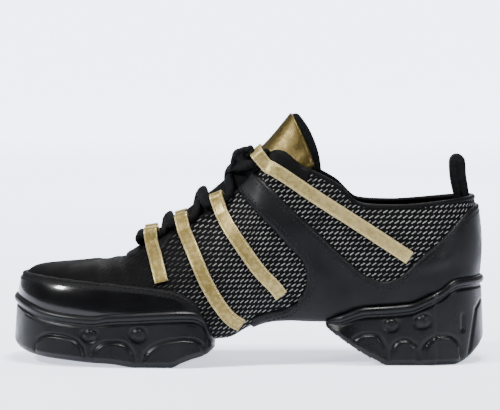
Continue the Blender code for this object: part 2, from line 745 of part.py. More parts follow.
def cord(name, points, collection, material):
    """A round cord through the points, as a curve with filled ends."""
    curve = bpy.data.curves.new(name, "CURVE")
    curve.dimensions = "3D"
    curve.bevel_depth = LACE_THICK / 2 * MM
    curve.bevel_resolution = LACE_ROUNDING
    curve.use_fill_caps = True
    spline = curve.splines.new("POLY")
    spline.points.add(len(points) - 1)
    for spot, point in zip(spline.points, points):
        spot.co = (*(point * MM), 1.0)
    curve.materials.append(material)
    item = bpy.data.objects.new(name, curve)
    collection.objects.link(item)
    return item


def as_mesh(item, name, collection):
    """The same cord as a closed mesh, which can be joined to another."""
    solid = item.evaluated_get(bpy.context.evaluated_depsgraph_get())
    mesh = bpy.data.meshes.new_from_object(solid)
    work = bmesh.new()
    work.from_mesh(mesh)
    bmesh.ops.remove_doubles(work, verts=work.verts, dist=0.01 * MM)
    work.to_mesh(mesh)
    work.free()
    made = bpy.data.objects.new(name, mesh)
    made.matrix_world = item.matrix_world
    collection.objects.link(made)
    bpy.data.objects.remove(item)
    return made


def build_lace(parts, cutters, material):
    """Bars and crossings as one solid, and the knot with its two ends as cords."""
    halves = []
    for side in SIDES:
        strand = cord("lace_half", finer(lace_route(side)), cutters, material)
        halves.append(as_mesh(strand, "lace_half_" + side, cutters))
    bars, other = halves
    cutters.objects.unlink(bars)
    parts.objects.link(bars)
    bars.name = "lace_bars"
    boolean(bars, "UNION", hide(other))
    work = bmesh.new()
    bmesh.ops.create_cube(work, size=1.0)
    bmesh.ops.scale(work, vec=KNOT_SIZE, verts=work.verts)
    tilt = Matrix.Rotation(radians(KNOT_TILT), 3, "Y")
    bmesh.ops.rotate(work, matrix=tilt, verts=work.verts)
    bmesh.ops.translate(work, vec=KNOT_CENTRE, verts=work.verts)
    knot = new_object("lace_knot", work, parts, material)
    rounded = knot.modifiers.new("round", "SUBSURF")
    rounded.levels = 2
    rounded.render_levels = 2
    for side in SIDES:
        cord("lace_end_" + side, finer(lace_end_route(side)), parts, material)


def build_pull_loop(parts, material):
    heel = SECTIONS["outer"][-1]
    collar_z = heel.top

    def sewn(z, layer):
        inside = heel.plan_at(z).x - WALL - SEWN_GAP
        return (inside - TAPE_THICK * (0.5 + layer) - MEETING_GAP * layer, z)

    low = collar_z - SEWN_DEPTH
    high = collar_z - SEWN_TOP
    path = [sewn(low, 0), sewn(high, 0), *PULL_LOOP_FREE, sewn(high, 1), sewn(low, 1)]
    rings = []
    for k, (x, z) in enumerate(path):
        before = path[max(k - 1, 0)]
        after = path[min(k + 1, len(path) - 1)]
        length = hypot(after[0] - before[0], after[1] - before[1])
        side_way = Vector((-(after[1] - before[1]), 0.0, after[0] - before[0])) / length * TAPE_THICK / 2
        centre = Vector((x, heel.spine.y, z))
        across = Vector((0.0, TAPE_WIDTH / 2, 0.0))
        rings.append([centre - across - side_way, centre + across - side_way,
                      centre + across + side_way, centre - across + side_way])
    return new_object("pull_loop", ring_solid(rings), parts, material)


def build_parts(parts, cutters):
    rubber = finish("sole_rubber", (0.026, 0.028, 0.031), 0.6)
    cloth = finish("mesh_cloth", (0.03, 0.03, 0.033), 0.8)
    lining = finish("lining_cloth", (0.02, 0.02, 0.022), 0.9)
    patent = finish("toe_leather", (0.008, 0.008, 0.009), 0.25)
    leather = finish("counter_leather", (0.022, 0.022, 0.024), 0.45)
    gold = finish("gold_leather", (0.56, 0.46, 0.21), 0.35, 0.6)
    tongue_gold = finish("tongue_leather", (0.5, 0.42, 0.21), 0.4, 0.5)
    lace = finish("lace_cord", (0.015, 0.015, 0.016), 0.85)
    webbing = finish("webbing", (0.015, 0.015, 0.016), 0.85)
    build_upper(parts, cloth)
    forefoot = build_sole("forefoot_sole", FOREFOOT_SOLE, parts, rubber)
    add_lugs(forefoot, FOREFOOT_SOLE, FOREFOOT_ARCHES, FOREFOOT_STUDS, cutters)
    heel = build_sole("heel_sole", HEEL_SOLE, parts, rubber)
    add_lugs(heel, HEEL_SOLE, HEEL_ARCHES, HEEL_STUDS, cutters)
    build_insole(parts, lining)
    build_tongue(parts, tongue_gold)
    toe_outline = list(TOE_CAP_SEAM) + rim_line(FOREFOOT_SOLE, TOE_CAP_SEAM[-1][0], -OUTLINE_END_X)
    build_overlay("toe_cap", toe_outline, parts, cutters, patent)
    counter_outline = list(COUNTER_FRONT + COUNTER_REAR)
    counter_outline += rim_line(HEEL_SOLE, OUTLINE_END_X, HEEL_SOLE[0][0])
    counter_outline.append((ARCH_SKIN_REAR, HEEL_SOLE[0][1] + SEAM_TO_RIM))
    counter_outline.append((ARCH_SKIN_REAR, COUNTER_FRONT[0][1]))
    counter_block = build_overlay("heel_counter", counter_outline, parts, cutters, leather)
    crossing = strap_band(STRAPS[-1], STRAP_CLEAR)
    boolean(counter_block, "DIFFERENCE", prism("strap_crossing", crossing, CROSSING_DEPTH, cutters))
    build_straps(parts, gold)
    build_lace(parts, cutters, lace)
    build_pull_loop(parts, webbing)


def main():
    for item in list(bpy.data.objects):
        bpy.data.objects.remove(item, do_unlink=True)
    parts = bpy.data.collections.new("jazz_shoe")
    cutters = bpy.data.collections.new("cutters")
    bpy.context.scene.collection.children.link(parts)
    bpy.context.scene.collection.children.link(cutters)
    build_parts(parts, cutters)


main()
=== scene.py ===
# %% [markdown]
# # A split-sole jazz shoe
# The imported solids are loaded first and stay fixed. They give every piece its place, so this script
# only adds what the eye sees: fine surfaces, cloth, leather, rubber, stitches and laces.

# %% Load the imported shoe
from math import asin, cos, exp, pi, radians, sin

import bmesh
import bpy
import numpy as np
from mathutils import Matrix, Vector


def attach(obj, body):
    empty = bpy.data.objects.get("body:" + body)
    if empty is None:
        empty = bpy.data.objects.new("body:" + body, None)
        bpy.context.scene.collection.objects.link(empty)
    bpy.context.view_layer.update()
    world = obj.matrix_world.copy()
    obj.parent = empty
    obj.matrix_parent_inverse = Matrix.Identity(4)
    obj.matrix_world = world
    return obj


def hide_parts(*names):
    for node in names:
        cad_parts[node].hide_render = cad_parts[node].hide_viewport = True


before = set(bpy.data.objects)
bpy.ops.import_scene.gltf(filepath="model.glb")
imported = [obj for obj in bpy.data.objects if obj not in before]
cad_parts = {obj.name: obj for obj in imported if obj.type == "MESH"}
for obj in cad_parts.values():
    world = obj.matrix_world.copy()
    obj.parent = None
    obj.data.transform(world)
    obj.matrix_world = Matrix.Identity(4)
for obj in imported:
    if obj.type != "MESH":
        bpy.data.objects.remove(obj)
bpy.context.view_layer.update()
MM = 0.001
print("nodes:", len(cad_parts))

# %% [markdown]
# The picture was taken from the outer side, a little above the floor, with a long lens. A camera aims
# along -Z of its own axes, so a track quaternion turns it towards the point in the picture's middle.

# %% Camera
PICTURE_WIDTH_MM = 277.0
LENS = 240.0
SENSOR = 36.0
CAMERA_RISE = 4.0
AIM = Vector((0.9, -36.0, 89.6))

camera_data = bpy.data.cameras.new("camera")
camera_data.lens = LENS
camera_data.sensor_width = SENSOR
camera = bpy.data.objects.new("camera", camera_data)
bpy.context.scene.collection.objects.link(camera)
bpy.context.scene.camera = camera
away = Vector((0.0, -cos(radians(CAMERA_RISE)), sin(radians(CAMERA_RISE))))
camera.location = (AIM + away * (PICTURE_WIDTH_MM * LENS / SENSOR)) * MM
camera.rotation_mode = "QUATERNION"
camera.rotation_quaternion = (-away).to_track_quat("-Z", "Y")
print("camera stands off by %.2f m" % (camera.location - AIM * MM).length)

# %% [markdown]
# Black leather shows only what it reflects. Large area lights give long soft reflections, and a pale
# sky keeps the floor and the background almost white.

# %% Floor, sky and lights
FLOOR_SIZE = 60.0
# The floor's glow from before the shoe to far behind it
FLOOR_GLOW = (-0.5, 2.5, 0.4, 5.6)
# The sky's strength from behind the camera to behind the shoe
SKY_FADE = (-0.2, 0.85, 0.12, 0.5)
LIGHTS = (
    {"name": "key", "place": (-1.3, -0.62, 1.1), "size": 0.24, "power": 46.0},
    {"name": "top", "place": (0.1, -0.25, 1.5), "size": 0.34, "power": 34.0},
    {"name": "rear_side", "place": (1.0, -0.95, 0.6), "size": 0.3, "power": 10.0},
    {"name": "back", "place": (0.2, 1.3, 0.9), "size": 0.9, "power": 12.0},
)
LIGHT_AIM = Vector((0.0, 0.0, 0.06))


def fade_along_y(tree, place_name, limits, target):
    """Link a value that runs between two limits along y to a socket."""
    place = tree.nodes.new("ShaderNodeTexCoord")
    split = tree.nodes.new("ShaderNodeSeparateXYZ")
    fade = tree.nodes.new("ShaderNodeMapRange")
    for socket, number in zip(("From Min", "From Max", "To Min", "To Max"), limits):
        fade.inputs[socket].default_value = number
    tree.links.new(place.outputs[place_name], split.inputs[0])
    tree.links.new(split.outputs["Y"], fade.inputs["Value"])
    tree.links.new(fade.outputs["Result"], target)


floor_work = bmesh.new()
bmesh.ops.create_grid(floor_work, x_segments=1, y_segments=1, size=FLOOR_SIZE / 2)
floor_mesh = bpy.data.meshes.new("floor")
floor_work.to_mesh(floor_mesh)
floor_work.free()
floor = bpy.data.objects.new("floor", floor_mesh)
bpy.context.scene.collection.objects.link(floor)
floor_finish = bpy.data.materials.new("pale_floor")
floor_finish.use_nodes = True
floor_shader = floor_finish.node_tree.nodes["Principled BSDF"]
floor_shader.inputs["Base Color"].default_value = (0.84, 0.87, 0.95, 1.0)
floor_shader.inputs["Roughness"].default_value = 0.9
floor_shader.inputs["Specular IOR Level"].default_value = 0.1
floor_shader.inputs["Emission Color"].default_value = (0.8, 0.86, 1.0, 1.0)
fade_along_y(floor_finish.node_tree, "Object", FLOOR_GLOW, floor_shader.inputs["Emission Strength"])
floor_mesh.materials.append(floor_finish)

sky = bpy.data.worlds.new("sky")
sky.use_nodes = True
sky.node_tree.nodes["Background"].inputs["Color"].default_value = (0.94, 0.95, 1.0, 1.0)
fade_along_y(sky.node_tree, "Generated", SKY_FADE, sky.node_tree.nodes["Background"].inputs["Strength"])
bpy.context.scene.world = sky
for row in LIGHTS:
    lamp_data = bpy.data.lights.new(row["name"], "AREA")
    lamp_data.size = row["size"]
    lamp_data.energy = row["power"]
    lamp = bpy.data.objects.new(row["name"], lamp_data)
    lamp.location = row["place"]
    lamp.visible_camera = False
    lamp.rotation_mode = "QUATERNION"
    lamp.rotation_quaternion = (LIGHT_AIM - Vector(row["place"])).to_track_quat("-Z", "Y")
    bpy.context.scene.collection.objects.link(lamp)
print("lights:", len(LIGHTS))

# %% [markdown]
# A shoemaker pulls the upper over a last, a solid foot form. The same few sections that shaped the
# solids are used again here, only read at many more places, so the fine pieces lie where they lie.
# Sizes are in millimetres and are scaled when a mesh is made.

# %% The last
TOE_TIP_X = -128.6
HEEL_TIP_X = 127.9
TOE_ROUND = 57.0
TOE_POWER = 2.45
TOE_RIDGE = 38.0
HEEL_ROUND = 36.0
HEEL_POWER = 2.2
HEEL_SPINE = 13.0
COLLAR_ROUND = 35.2
WALL = 2.0
LASTING_MARGIN = 9.0
ARCH_FRONT_X = -24.0
ARCH_REAR_X = 50.0
SIDE_SHIFT = -1.57
TOE_CENTRE_X = TOE_TIP_X + TOE_ROUND
HEEL_CENTRE_X = HEEL_TIP_X - HEEL_ROUND
SIDES = ("outer", "inner")
LAST_COLUMNS = ("x", "floor", "girth", "centre", "outer", "inner", "wrap",
                "top", "gap", "turn", "full", "belly")
LAST = (
    (-129, 24.0, 34.0, 6.0, 41.0, 39.0, 7.0, 51.4, 0.0, 90, 3.0, 0.0),
    (-110, 19.5, 29.4, 5.5, 43.0, 41.0, 7.0, 53.8, 0.0, 90, 3.0, 0.0),
    (-90, 16.5, 26.0, 4.5, 44.5, 43.0, 7.0, 55.4, 0.0, 90, 3.0, 0.0),
    (-72, 14.6, 23.5, 3.4, 45.5, 44.2, 7.0, 57.6, 0.0, 90, 2.8, 0.0),
    (-66, 14.2, 23.0, 3.0, 46.0, 44.2, 7.0, 60.4, 0.0, 88, 2.6, 0.0),
    (-63, 14.0, 22.8, 2.8, 46.2, 44.2, 7.0, 62.2, 5.0, 82, 2.5, 0.0),
    (-57, 14.0, 22.5, 2.5, 46.5, 44.0, 7.0, 65.6, 9.0, 74, 2.3, 0.0),
    (-44, 14.0, 22.5, 1.8, 46.5, 42.5, 8.0, 72.2, 12.0, 66, 2.2, 0.0),
    (-27, 14.4, 25.0, 0.8, 44.0, 38.5, 10.0, 81.0, 14.0, 58, 2.1, 0.3),
    (-12, 15.0, 30.0, 0.0, 40.5, 33.8, 13.0, 91.0, 16.0, 50, 2.0, 0.5),
    (0, 20.6, 36.6, -0.4, 37.4, 30.6, 15.0, 102.0, 18.0, 43, 2.0, 0.7),
    (8, 23.8, 40.0, -0.6, 35.6, 29.2, 15.0, 113.0, 20.0, 39, 2.0, 0.8),
    (16, 25.0, 41.0, -0.6, 34.2, 28.4, 15.0, 119.2, 22.0, 35, 2.0, 0.9),
    (24, 25.2, 41.0, -0.6, 33.2, 28.2, 15.0, 114.8, 23.6, 32, 2.0, 1.0),
    (29, 25.0, 40.7, -0.6, 32.9, 28.4, 14.6, 110.2, 24.4, 30.5, 2.0, 1.1),
    (34, 24.8, 40.2, -0.5, 32.6, 28.6, 14.0, 108.4, 25.2, 29, 2.0, 1.2),
    (50, 24.8, 37.6, -0.3, 32.2, 29.8, 11.0, 99.8, 26.6, 26, 2.0, 1.5),
    (60, 26.6, 37.5, -0.2, 32.0, 30.6, 9.0, 90.4, 27.2, 26, 2.0, 1.6),
    (69, 28.2, 38.0, 0.0, 32.0, 31.0, 8.0, 88.8, 27.6, 26, 2.0, 1.7),
    (82, 29.6, 39.0, 0.0, 31.8, 31.2, 7.0, 88.5, 28.0, 26, 2.0, 1.8),
    (95, 30.6, 40.0, 0.0, 31.6, 31.4, 7.0, 89.2, 28.2, 26, 2.0, 2.0),
    (112, 31.4, 41.0, 0.0, 31.6, 31.6, 7.0, 91.0, 28.2, 26, 2.0, 2.2),
    (131, 32.0, 41.5, 0.0, 31.6, 31.6, 7.0, 93.2, 28.2, 26, 2.0, 2.4),
)


def smooth(table, columns, name, x):
    """Read a column at x with a cubic that keeps the table's flats and peaks."""
    xs = [row[0] for row in table]
    ys = [row[columns.index(name)] for row in table]
    x = min(max(x, xs[0]), xs[-1])
    rises = [(ys[i + 1] - ys[i]) / (xs[i + 1] - xs[i]) for i in range(len(xs) - 1)]
    slopes = [rises[0]]
    for before, after in zip(rises, rises[1:]):
        slopes.append(2 * before * after / (before + after) if before * after > 0 else 0.0)
    slopes.append(rises[-1])
    i = max(k for k in range(len(xs) - 1) if xs[k] <= x)
    span = xs[i + 1] - xs[i]
    t = (x - xs[i]) / span
    return (ys[i] * (1 + 2 * t) * (1 - t) ** 2 + ys[i + 1] * t * t * (3 - 2 * t)
            + span * (slopes[i] * t * (1 - t) ** 2 - slopes[i + 1] * t * t * (1 - t)))


def last(name, x):
    """A size of the last at x."""
    return smooth(LAST, LAST_COLUMNS, name, x)


def middle_y(x):
    """The middle line's Y, with the whole shoe centred on its width."""
    return last("centre", x) + SIDE_SHIFT


def lifted(plan, z):
    """A plan point at a height."""
    return Vector((plan.x, plan.y, z))


class Station:
    """One half section: where its wall starts and where it ends, in plan."""

    def __init__(self, side, foot_x, foot_end, head_x, head_end, spine_x):
        self.sign = -1.0 if side == "outer" else 1.0
        self.foot_x = foot_x
        self.foot = Vector((foot_x, middle_y(foot_x) + self.sign * last(side, foot_x) * foot_end))
        self.spine = Vector((spine_x, middle_y(spine_x)))
        self.head = Vector((head_x, middle_y(head_x) + self.sign * last("gap", head_x) * head_end))
        self.out = (self.foot - self.spine).normalized()
        self.girth = last("girth", foot_x)
        self.wrap = last("wrap", foot_x)
        self.floor = last("floor", foot_x - self.out.x * self.wrap)
        self.top = last("top", head_x)
        self.turn = radians(last("turn", head_x))
        self.power = 2.0 / last("full", head_x)
        self.belly = last("belly", head_x)

    def lean(self, angle):
        """Distance out from the head edge, as a share of the span, and the rise, as a share."""
        end = cos(self.turn) ** self.power if self.turn < pi / 2 - 1e-6 else 0.0
        across = (max(cos(angle), 0.0) ** self.power - end) / (1.0 - end)
        rise = (sin(angle) / sin(self.turn)) ** self.power
        return across, rise

    def wall(self, angle):
        """The wall's plan point and height, at an angle of its lean."""
        across, rise = self.lean(angle)
        plan = self.head.lerp(self.foot, across) + self.out * (self.belly * sin(pi * rise))
        return plan, self.girth + (self.top - self.girth) * rise

    def plan_at(self, z, clear=0.0):
        """The outer face's plan point at height z, moved out by a clearance."""
        if z <= self.girth:
            drop = min((self.girth - z) / (self.girth - self.floor + clear), 1.0)
            return self.foot + self.out * ((self.wrap + clear) * (1 - drop * drop) ** 0.5 - self.wrap)
        rise = min((z - self.girth) / (self.top - self.girth), 1.0)
        angle = asin(min(rise ** (1 / self.power) * sin(self.turn), 1.0))
        return self.wall(angle)[0] + self.out * clear

    def at(self, out, z):
        """A point of this section: out from the girth line, at height z."""
        return lifted(self.foot + self.out * out, z)

    def arched(self):
        """Whether the section lies over the bare arch."""
        return ARCH_FRONT_X <= self.foot_x <= ARCH_REAR_X


# %% [markdown]
# Every fine surface starts as a flat grid from `create_grid`, whose corners are then laid on the last.
# A grid keeps clean rows of quads, so it shades smoothly and can carry its own lay, in millimetres,
# for the weave to follow.

# %% Grids laid on a form
def lay_grid(work, columns, rows, place):
    """Put a grid's corners where place(column, row) says, with the lay that it gives."""
    lay = work.verts.layers.float_vector.get("lay") or work.verts.layers.float_vector.new("lay")
    made = []
    for vertex in bmesh.ops.create_grid(work, x_segments=columns, y_segments=rows, size=1.0)["verts"]:
        column = round((vertex.co.x + 1) / 2 * columns)
        row = round((vertex.co.y + 1) / 2 * rows)
        point, spot = place(column, row)
        vertex.co = point
        vertex[lay] = (*spot, 0.0)
        made.append((vertex, column, row))
    return made


def weld(work, distance=0.01):
    """Merge corners that meet."""
    bmesh.ops.remove_doubles(work, verts=work.verts, dist=distance)
    bmesh.ops.dissolve_degenerate(work, edges=work.edges, dist=distance)


def finish_piece(name, work, material, replaces=(), smooth_shading=True):
    """Scale a bmesh to metres, make it an object, and let it ride on the shoe."""
    bmesh.ops.scale(work, vec=(MM, MM, MM), verts=work.verts)
    mesh = bpy.data.meshes.new(name)
    work.to_mesh(mesh)
    work.free()
    mesh.polygons.foreach_set("use_smooth", [smooth_shading] * len(mesh.polygons))
    mesh.materials.append(material)
    piece = bpy.data.objects.new(name, mesh)
    bpy.context.scene.collection.objects.link(piece)
    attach(piece, "root")
    if replaces:
        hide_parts(*replaces)
    print(name, len(mesh.polygons), "faces")
    return piece


def give_wall(piece, thickness, offset, lining=None):
    """A live wall; its back and rim take a second material if there is one."""
    wall = piece.modifiers.new("wall", "SOLIDIFY")
    wall.thickness = thickness * MM
    wall.offset = offset
    wall.use_even_offset = False
    if lining:
        piece.data.materials.append(lining)
        wall.material_offset = 1
        wall.material_offset_rim = 1
    return wall


TINY = 1e-9
FAR = 1e9


def flow(points, pieces):
    """A smooth curve through the points, with more of them."""
    ends = [points[0] * 2 - points[1], *points, points[-1] * 2 - points[-2]]
    made = []
    for a, b, c, d in zip(ends, ends[1:], ends[2:], ends[3:]):
        for k in range(pieces):
            t = k / pieces
            made.append((b * 2 + (c - a) * t + (a * 2 - b * 5 + c * 4 - d) * t ** 2
                         + (b * 3 - a - c * 3 + d) * t ** 3) / 2)
    return made + [points[-1]]


def even(points, step):
    """The same line with points an even step apart."""
    lengths = [0.0]
    for a, b in zip(points, points[1:]):
        lengths.append(lengths[-1] + (b - a).length)
    count = max(int(lengths[-1] / step), 1)
    made = []
    k = 0
    for n in range(count + 1):
        goal = lengths[-1] * n / count
        while k < len(points) - 2 and lengths[k + 1] < goal:
            k += 1
        span = max(lengths[k + 1] - lengths[k], TINY)
        made.append(points[k].lerp(points[k + 1], (goal - lengths[k]) / span))
    return made


# %% [markdown]
# Panels have free outlines in side view. For each corner of a grid, the distance to an outline is
# worked out, above zero inside it. Edges that cross zero are split there and joined across their
# faces, which trims the grid along the exact seam with no Boolean.

# %% Outlines and trimming
def gap_to_line(spots, line):
    """Distance from each (x, z) spot to an open line of points."""
    nearest = np.full(len(spots), FAR)
    for a, b in zip(line, line[1:]):
        way = b - a
        share = np.clip(((spots - a) @ way) / max(way @ way, 1e-12), 0, 1)
        nearest = np.minimum(nearest, np.linalg.norm(spots - a - share[:, None] * way, axis=1))
    return nearest


def inside_by(spots, outline):
    """How far each (x, z) spot lies inside a closed outline; outside it is below zero."""
    line = np.array([tuple(point) for point in outline] + [tuple(outline[0])], float)
    crossings = np.zeros(len(spots), int)
    for (ax, az), (bx, bz) in zip(line, line[1:]):
        spans = (az > spots[:, 1]) != (bz > spots[:, 1])
        reach = ax + (spots[:, 1] - az) / ((bz - az) or 1e-12) * (bx - ax)
        crossings += spans & (spots[:, 0] < reach)
    return np.where(crossings % 2 == 1, 1, -1) * gap_to_line(spots, line)


def trim(work, measure):
    """Keep the part of a bmesh where measure(spots) is above zero. Returns the cut corners."""
    verts = list(work.verts)
    values = dict(zip(verts, measure(np.array([(v.co.x, v.co.z) for v in verts]))))
    cut = []
    for edge in list(work.edges):
        a, b = edge.verts
        if values[a] * values[b] < 0:
            share = values[a] / (values[a] - values[b])
            vertex = bmesh.utils.edge_split(edge, a, share)[1]
            values[vertex] = 0.0
            cut.append(vertex)
    bmesh.ops.connect_verts(work, verts=cut)
    outside = [face for face in work.faces if sum(values[v] for v in face.verts) < 0]
    bmesh.ops.delete(work, geom=outside, context="FACES")
    return [vertex for vertex in cut if vertex.is_valid]


SHORTEST_RUN = 3


def place_of(vertex):
    """A corner's place to a tenth of a micron, as a key for sorting."""
    return tuple(round(value, 4) for value in vertex.co)


def chains(verts):
    """Cut corners in order along their seams, as lists of (point, normal)."""
    # The corners are sorted by place, so every run of the script starts its seams at the same corner
    left = dict.fromkeys(sorted(verts, key=place_of))
    found = []

    def ahead(vertex):
        others = [edge.other_vert(vertex) for edge in vertex.link_edges if edge.is_boundary]
        return min((other for other in others if other in left), key=place_of, default=None)

    while left:
        start = next(iter(left))
        del left[start]
        run = [start]
        for turn in (1, -1):
            here = start
            while True:
                here = ahead(here)
                if here is None:
                    break
                del left[here]
                run = run + [here] if turn == 1 else [here] + run
        if len(run) > SHORTEST_RUN:
            found.append([(v.co.copy(), v.normal.copy()) for v in run])
    return found


# %% [markdown]
# Finishes are node graphs. Object coordinates are in metres, so a noise scale of 1000 gives grains of
# about a millimetre. Bump nodes turn a grey pattern into small slopes, which is how leather grain,
# rubber bloom and weave catch the light without more faces.

# %% Finish helpers
class Finish:
    """A material whose patterns are added one by one."""

    def __init__(self, name, colour, roughness, **sockets):
        self.material = bpy.data.materials.new(name)
        self.material.use_nodes = True
        self.tree = self.material.node_tree
        self.shader = self.tree.nodes["Principled BSDF"]
        self.shader.inputs["Base Color"].default_value = (*colour, 1.0)
        self.shader.inputs["Roughness"].default_value = roughness
        for socket, value in sockets.items():
            self.shader.inputs[socket.replace("_", " ")].default_value = value
        self.colour = colour
        self.normal = None

    def node(self, kind, **settings):
        """A new shader node with its settings."""
        made = self.tree.nodes.new("ShaderNode" + kind)
        for name, value in settings.items():
            setattr(made, name, value)
        return made

    def link(self, output, socket):
        self.tree.links.new(output, socket)

    def maths(self, operation, first, second=0.0, third=0.0):
        """One sum on sockets or numbers."""
        made = self.node("Math", operation=operation)
        for socket, value in zip(made.inputs, (first, second, third)):
            if isinstance(value, (int, float)):
                socket.default_value = value
            else:
                self.link(value, socket)
        return made.outputs[0]

    def fade(self, value, low, high, bottom=0.0, top=1.0):
        """A soft step of a value between two limits."""
        made = self.node("MapRange", interpolation_type="SMOOTHSTEP")
        self.link(value, made.inputs["Value"])
        for socket, number in (("From Min", low), ("From Max", high), ("To Min", bottom), ("To Max", top)):
            made.inputs[socket].default_value = number
        return made.outputs["Result"]

    def noise(self, scale, detail=3.0):
        """Soft cloudy spots."""
        place = self.node("TexCoord")
        made = self.node("TexNoise")
        made.inputs["Scale"].default_value = scale
        made.inputs["Detail"].default_value = detail
        self.link(place.outputs["Object"], made.inputs["Vector"])
        return made.outputs["Fac"]

    def cells(self, scale):
        """Edges of the small pebbles of a leather grain."""
        place = self.node("TexCoord")
        made = self.node("TexVoronoi", feature="DISTANCE_TO_EDGE")
        made.inputs["Scale"].default_value = scale
        self.link(place.outputs["Object"], made.inputs["Vector"])
        return made.outputs["Distance"]

    def along_shoe(self):
        """How far along the shoe a spot lies, in metres."""
        place = self.node("TexCoord")
        split = self.node("SeparateXYZ")
        self.link(place.outputs["Object"], split.inputs[0])
        return split.outputs["X"]

    def lay(self):
        """The piece's own lay along, across and in from its edge, in millimetres."""
        made = self.node("Attribute", attribute_name="lay")
        split = self.node("SeparateXYZ")
        self.link(made.outputs["Vector"], split.inputs[0])
        return split.outputs

    def bump(self, height, depth_mm, strength=1.0):
        """Small slopes from a pattern, on top of those before."""
        made = self.node("Bump")
        made.inputs["Strength"].default_value = strength
        made.inputs["Distance"].default_value = depth_mm * MM
        self.link(height, made.inputs["Height"])
        if self.normal:
            self.link(self.normal, made.inputs["Normal"])
        self.normal = made.outputs["Normal"]
        self.link(self.normal, self.shader.inputs["Normal"])

    def tint(self, value, low_colour, high_colour, low=0.35, high=0.65):
        """Colour that moves between two tones with a pattern."""
        mixed = self.node("Mix", data_type="RGBA")
        colour_sockets = [s for s in mixed.inputs if s.type == "RGBA"]
        colour_sockets[0].default_value = (*low_colour, 1.0)
        colour_sockets[1].default_value = (*high_colour, 1.0)
        self.link(self.fade(value, low, high), mixed.inputs[0])
        made = [s for s in mixed.outputs if s.type == "RGBA"][0]
        self.link(made, self.shader.inputs["Base Color"])
        return made

    def gloss(self, value, low, high):
        """Roughness that wanders between two limits."""
        made = self.fade(value, 0.3, 0.7, low, high)
        self.link(made, self.shader.inputs["Roughness"])
        return made


# %% [markdown]
# The toe leather is smooth and shines, the counter is satin, the vamp is matt. They differ in
# roughness, in coat and in how deep the grain is, more than in colour.

# %% Leathers and rubber
# How far in from a pared edge the leather turns from dull to bright, and how much rougher it starts
DULL_EDGE = (2.4, 6.0)
DULL_ROUGH = 0.4


def black_leather(name, colour, roughness, grain_mm, coat, shine):
    """Leather that is duller where its edge is pared and sewn down."""
    made = Finish(name, colour, roughness, Coat_Weight=coat, Coat_Roughness=0.09, Specular_IOR_Level=shine)
    made.bump(made.cells(900), grain_mm)
    made.bump(made.noise(160), grain_mm * 2.5, 0.6)
    patchy = made.gloss(made.noise(70, 4.0), roughness * 0.85, roughness * 1.2)
    if coat:
        inside = made.fade(made.lay()[2], *DULL_EDGE)
        made.link(made.maths("MULTIPLY", inside, coat), made.shader.inputs["Coat Weight"])
        pared = made.maths("MULTIPLY_ADD", inside, -DULL_ROUGH, DULL_ROUGH)
        made.link(made.maths("ADD", patchy, pared), made.shader.inputs["Roughness"])
    made.tint(made.noise(45, 4.0), [c * 0.8 for c in colour], [c * 1.25 for c in colour])
    return made.material


TOE_LEATHER = black_leather("toe_leather_gloss", (0.002, 0.002, 0.0022), 0.22, 0.02, 0.5, 0.1)
COUNTER_LEATHER = black_leather("counter_leather_satin", (0.003, 0.0031, 0.0035), 0.44, 0.05, 0.0, 0.13)
VAMP_LEATHER = black_leather("vamp_leather_matt", (0.0022, 0.0022, 0.0024), 0.6, 0.06, 0.0, 0.03)
BINDING_LEATHER = black_leather("binding_leather", (0.0028, 0.0028, 0.003), 0.5, 0.03, 0.0, 0.05)

rubber = Finish("moulded_rubber", (0.0028, 0.003, 0.0034), 0.32, Specular_IOR_Level=0.17)
rubber.bump(rubber.noise(2200, 2.0), 0.04)
rubber.bump(rubber.noise(220), 0.08, 0.5)
rubber.gloss(rubber.noise(90, 4.0), 0.26, 0.4)
rubber.tint(rubber.noise(60, 4.0), (0.0022, 0.0023, 0.0026), (0.0036, 0.0038, 0.0043))
RUBBER = rubber.material

# %% [markdown]
# The straps and the tongue are a pale gold foil on leather. Half metal and half paint looks right: the
# foil lies over a fine grain, so it is mottled, and it is a little darker in the grain's hollows.

# %% Gold leather
GROOVE_INSET = 1.15
# How far in from a strap's edge the foil is painted lighter: a painted highlight along the edges
PAINTED_EDGE_HIGHLIGHT = 0.8
# Where the gold is painted paler towards the heel: painted light that brightens the rear strap
PAINTED_LIGHT_REACH = (-0.02, 0.06)


def gold_foil(name, dark, light, metal, half_width=None):
    """Mottled foil; a strap of some half width also has edges painted lighter as a painted highlight, and a
    stitched groove.
    """
    made = Finish(name, light, 0.36, Metallic=metal, Specular_IOR_Level=0.3)
    made.bump(made.cells(1100), 0.06)
    made.bump(made.noise(300), 0.12, 0.6)
    tone_and_painted_light = made.fade(made.noise(420, 5.0), 0.3, 0.7, 0.0, 0.62)
    # Painted light: the foil's tone is paler towards the heel
    tone_and_painted_light = made.maths("ADD", tone_and_painted_light, made.fade(made.along_shoe(), *PAINTED_LIGHT_REACH, 0.0, 0.6))
    if half_width:
        from_middle = made.maths("ABSOLUTE", made.lay()[1])
        groove = made.maths("ABSOLUTE", made.maths("SUBTRACT", from_middle, half_width - GROOVE_INSET))
        # Painted highlight: the strap's edges are painted lighter
        edge = made.fade(from_middle, half_width - PAINTED_EDGE_HIGHLIGHT, half_width, 0.0, 0.9)
        tone_and_painted_light = made.maths("ADD", tone_and_painted_light, edge)
        made.bump(made.fade(groove, 0.0, 0.4), 0.25)
    made.tint(tone_and_painted_light, dark, light, 0.0, 1.2)
    made.gloss(made.noise(260, 4.0), 0.3, 0.42)
    return made.material


GOLD = gold_foil("gold_foil_leather", (0.185, 0.134, 0.036), (0.38, 0.305, 0.13), 0.5, 3.8)
# The tongue's foil is a much darker copy of the straps' gold: painted shade, since the tongue's face catches
# more of the lamps' light
SHADED_TONGUE_GOLD = gold_foil("gold_foil_tongue_painted_shade", (0.042, 0.0295, 0.0066), (0.084, 0.0605, 0.0158), 0.7)

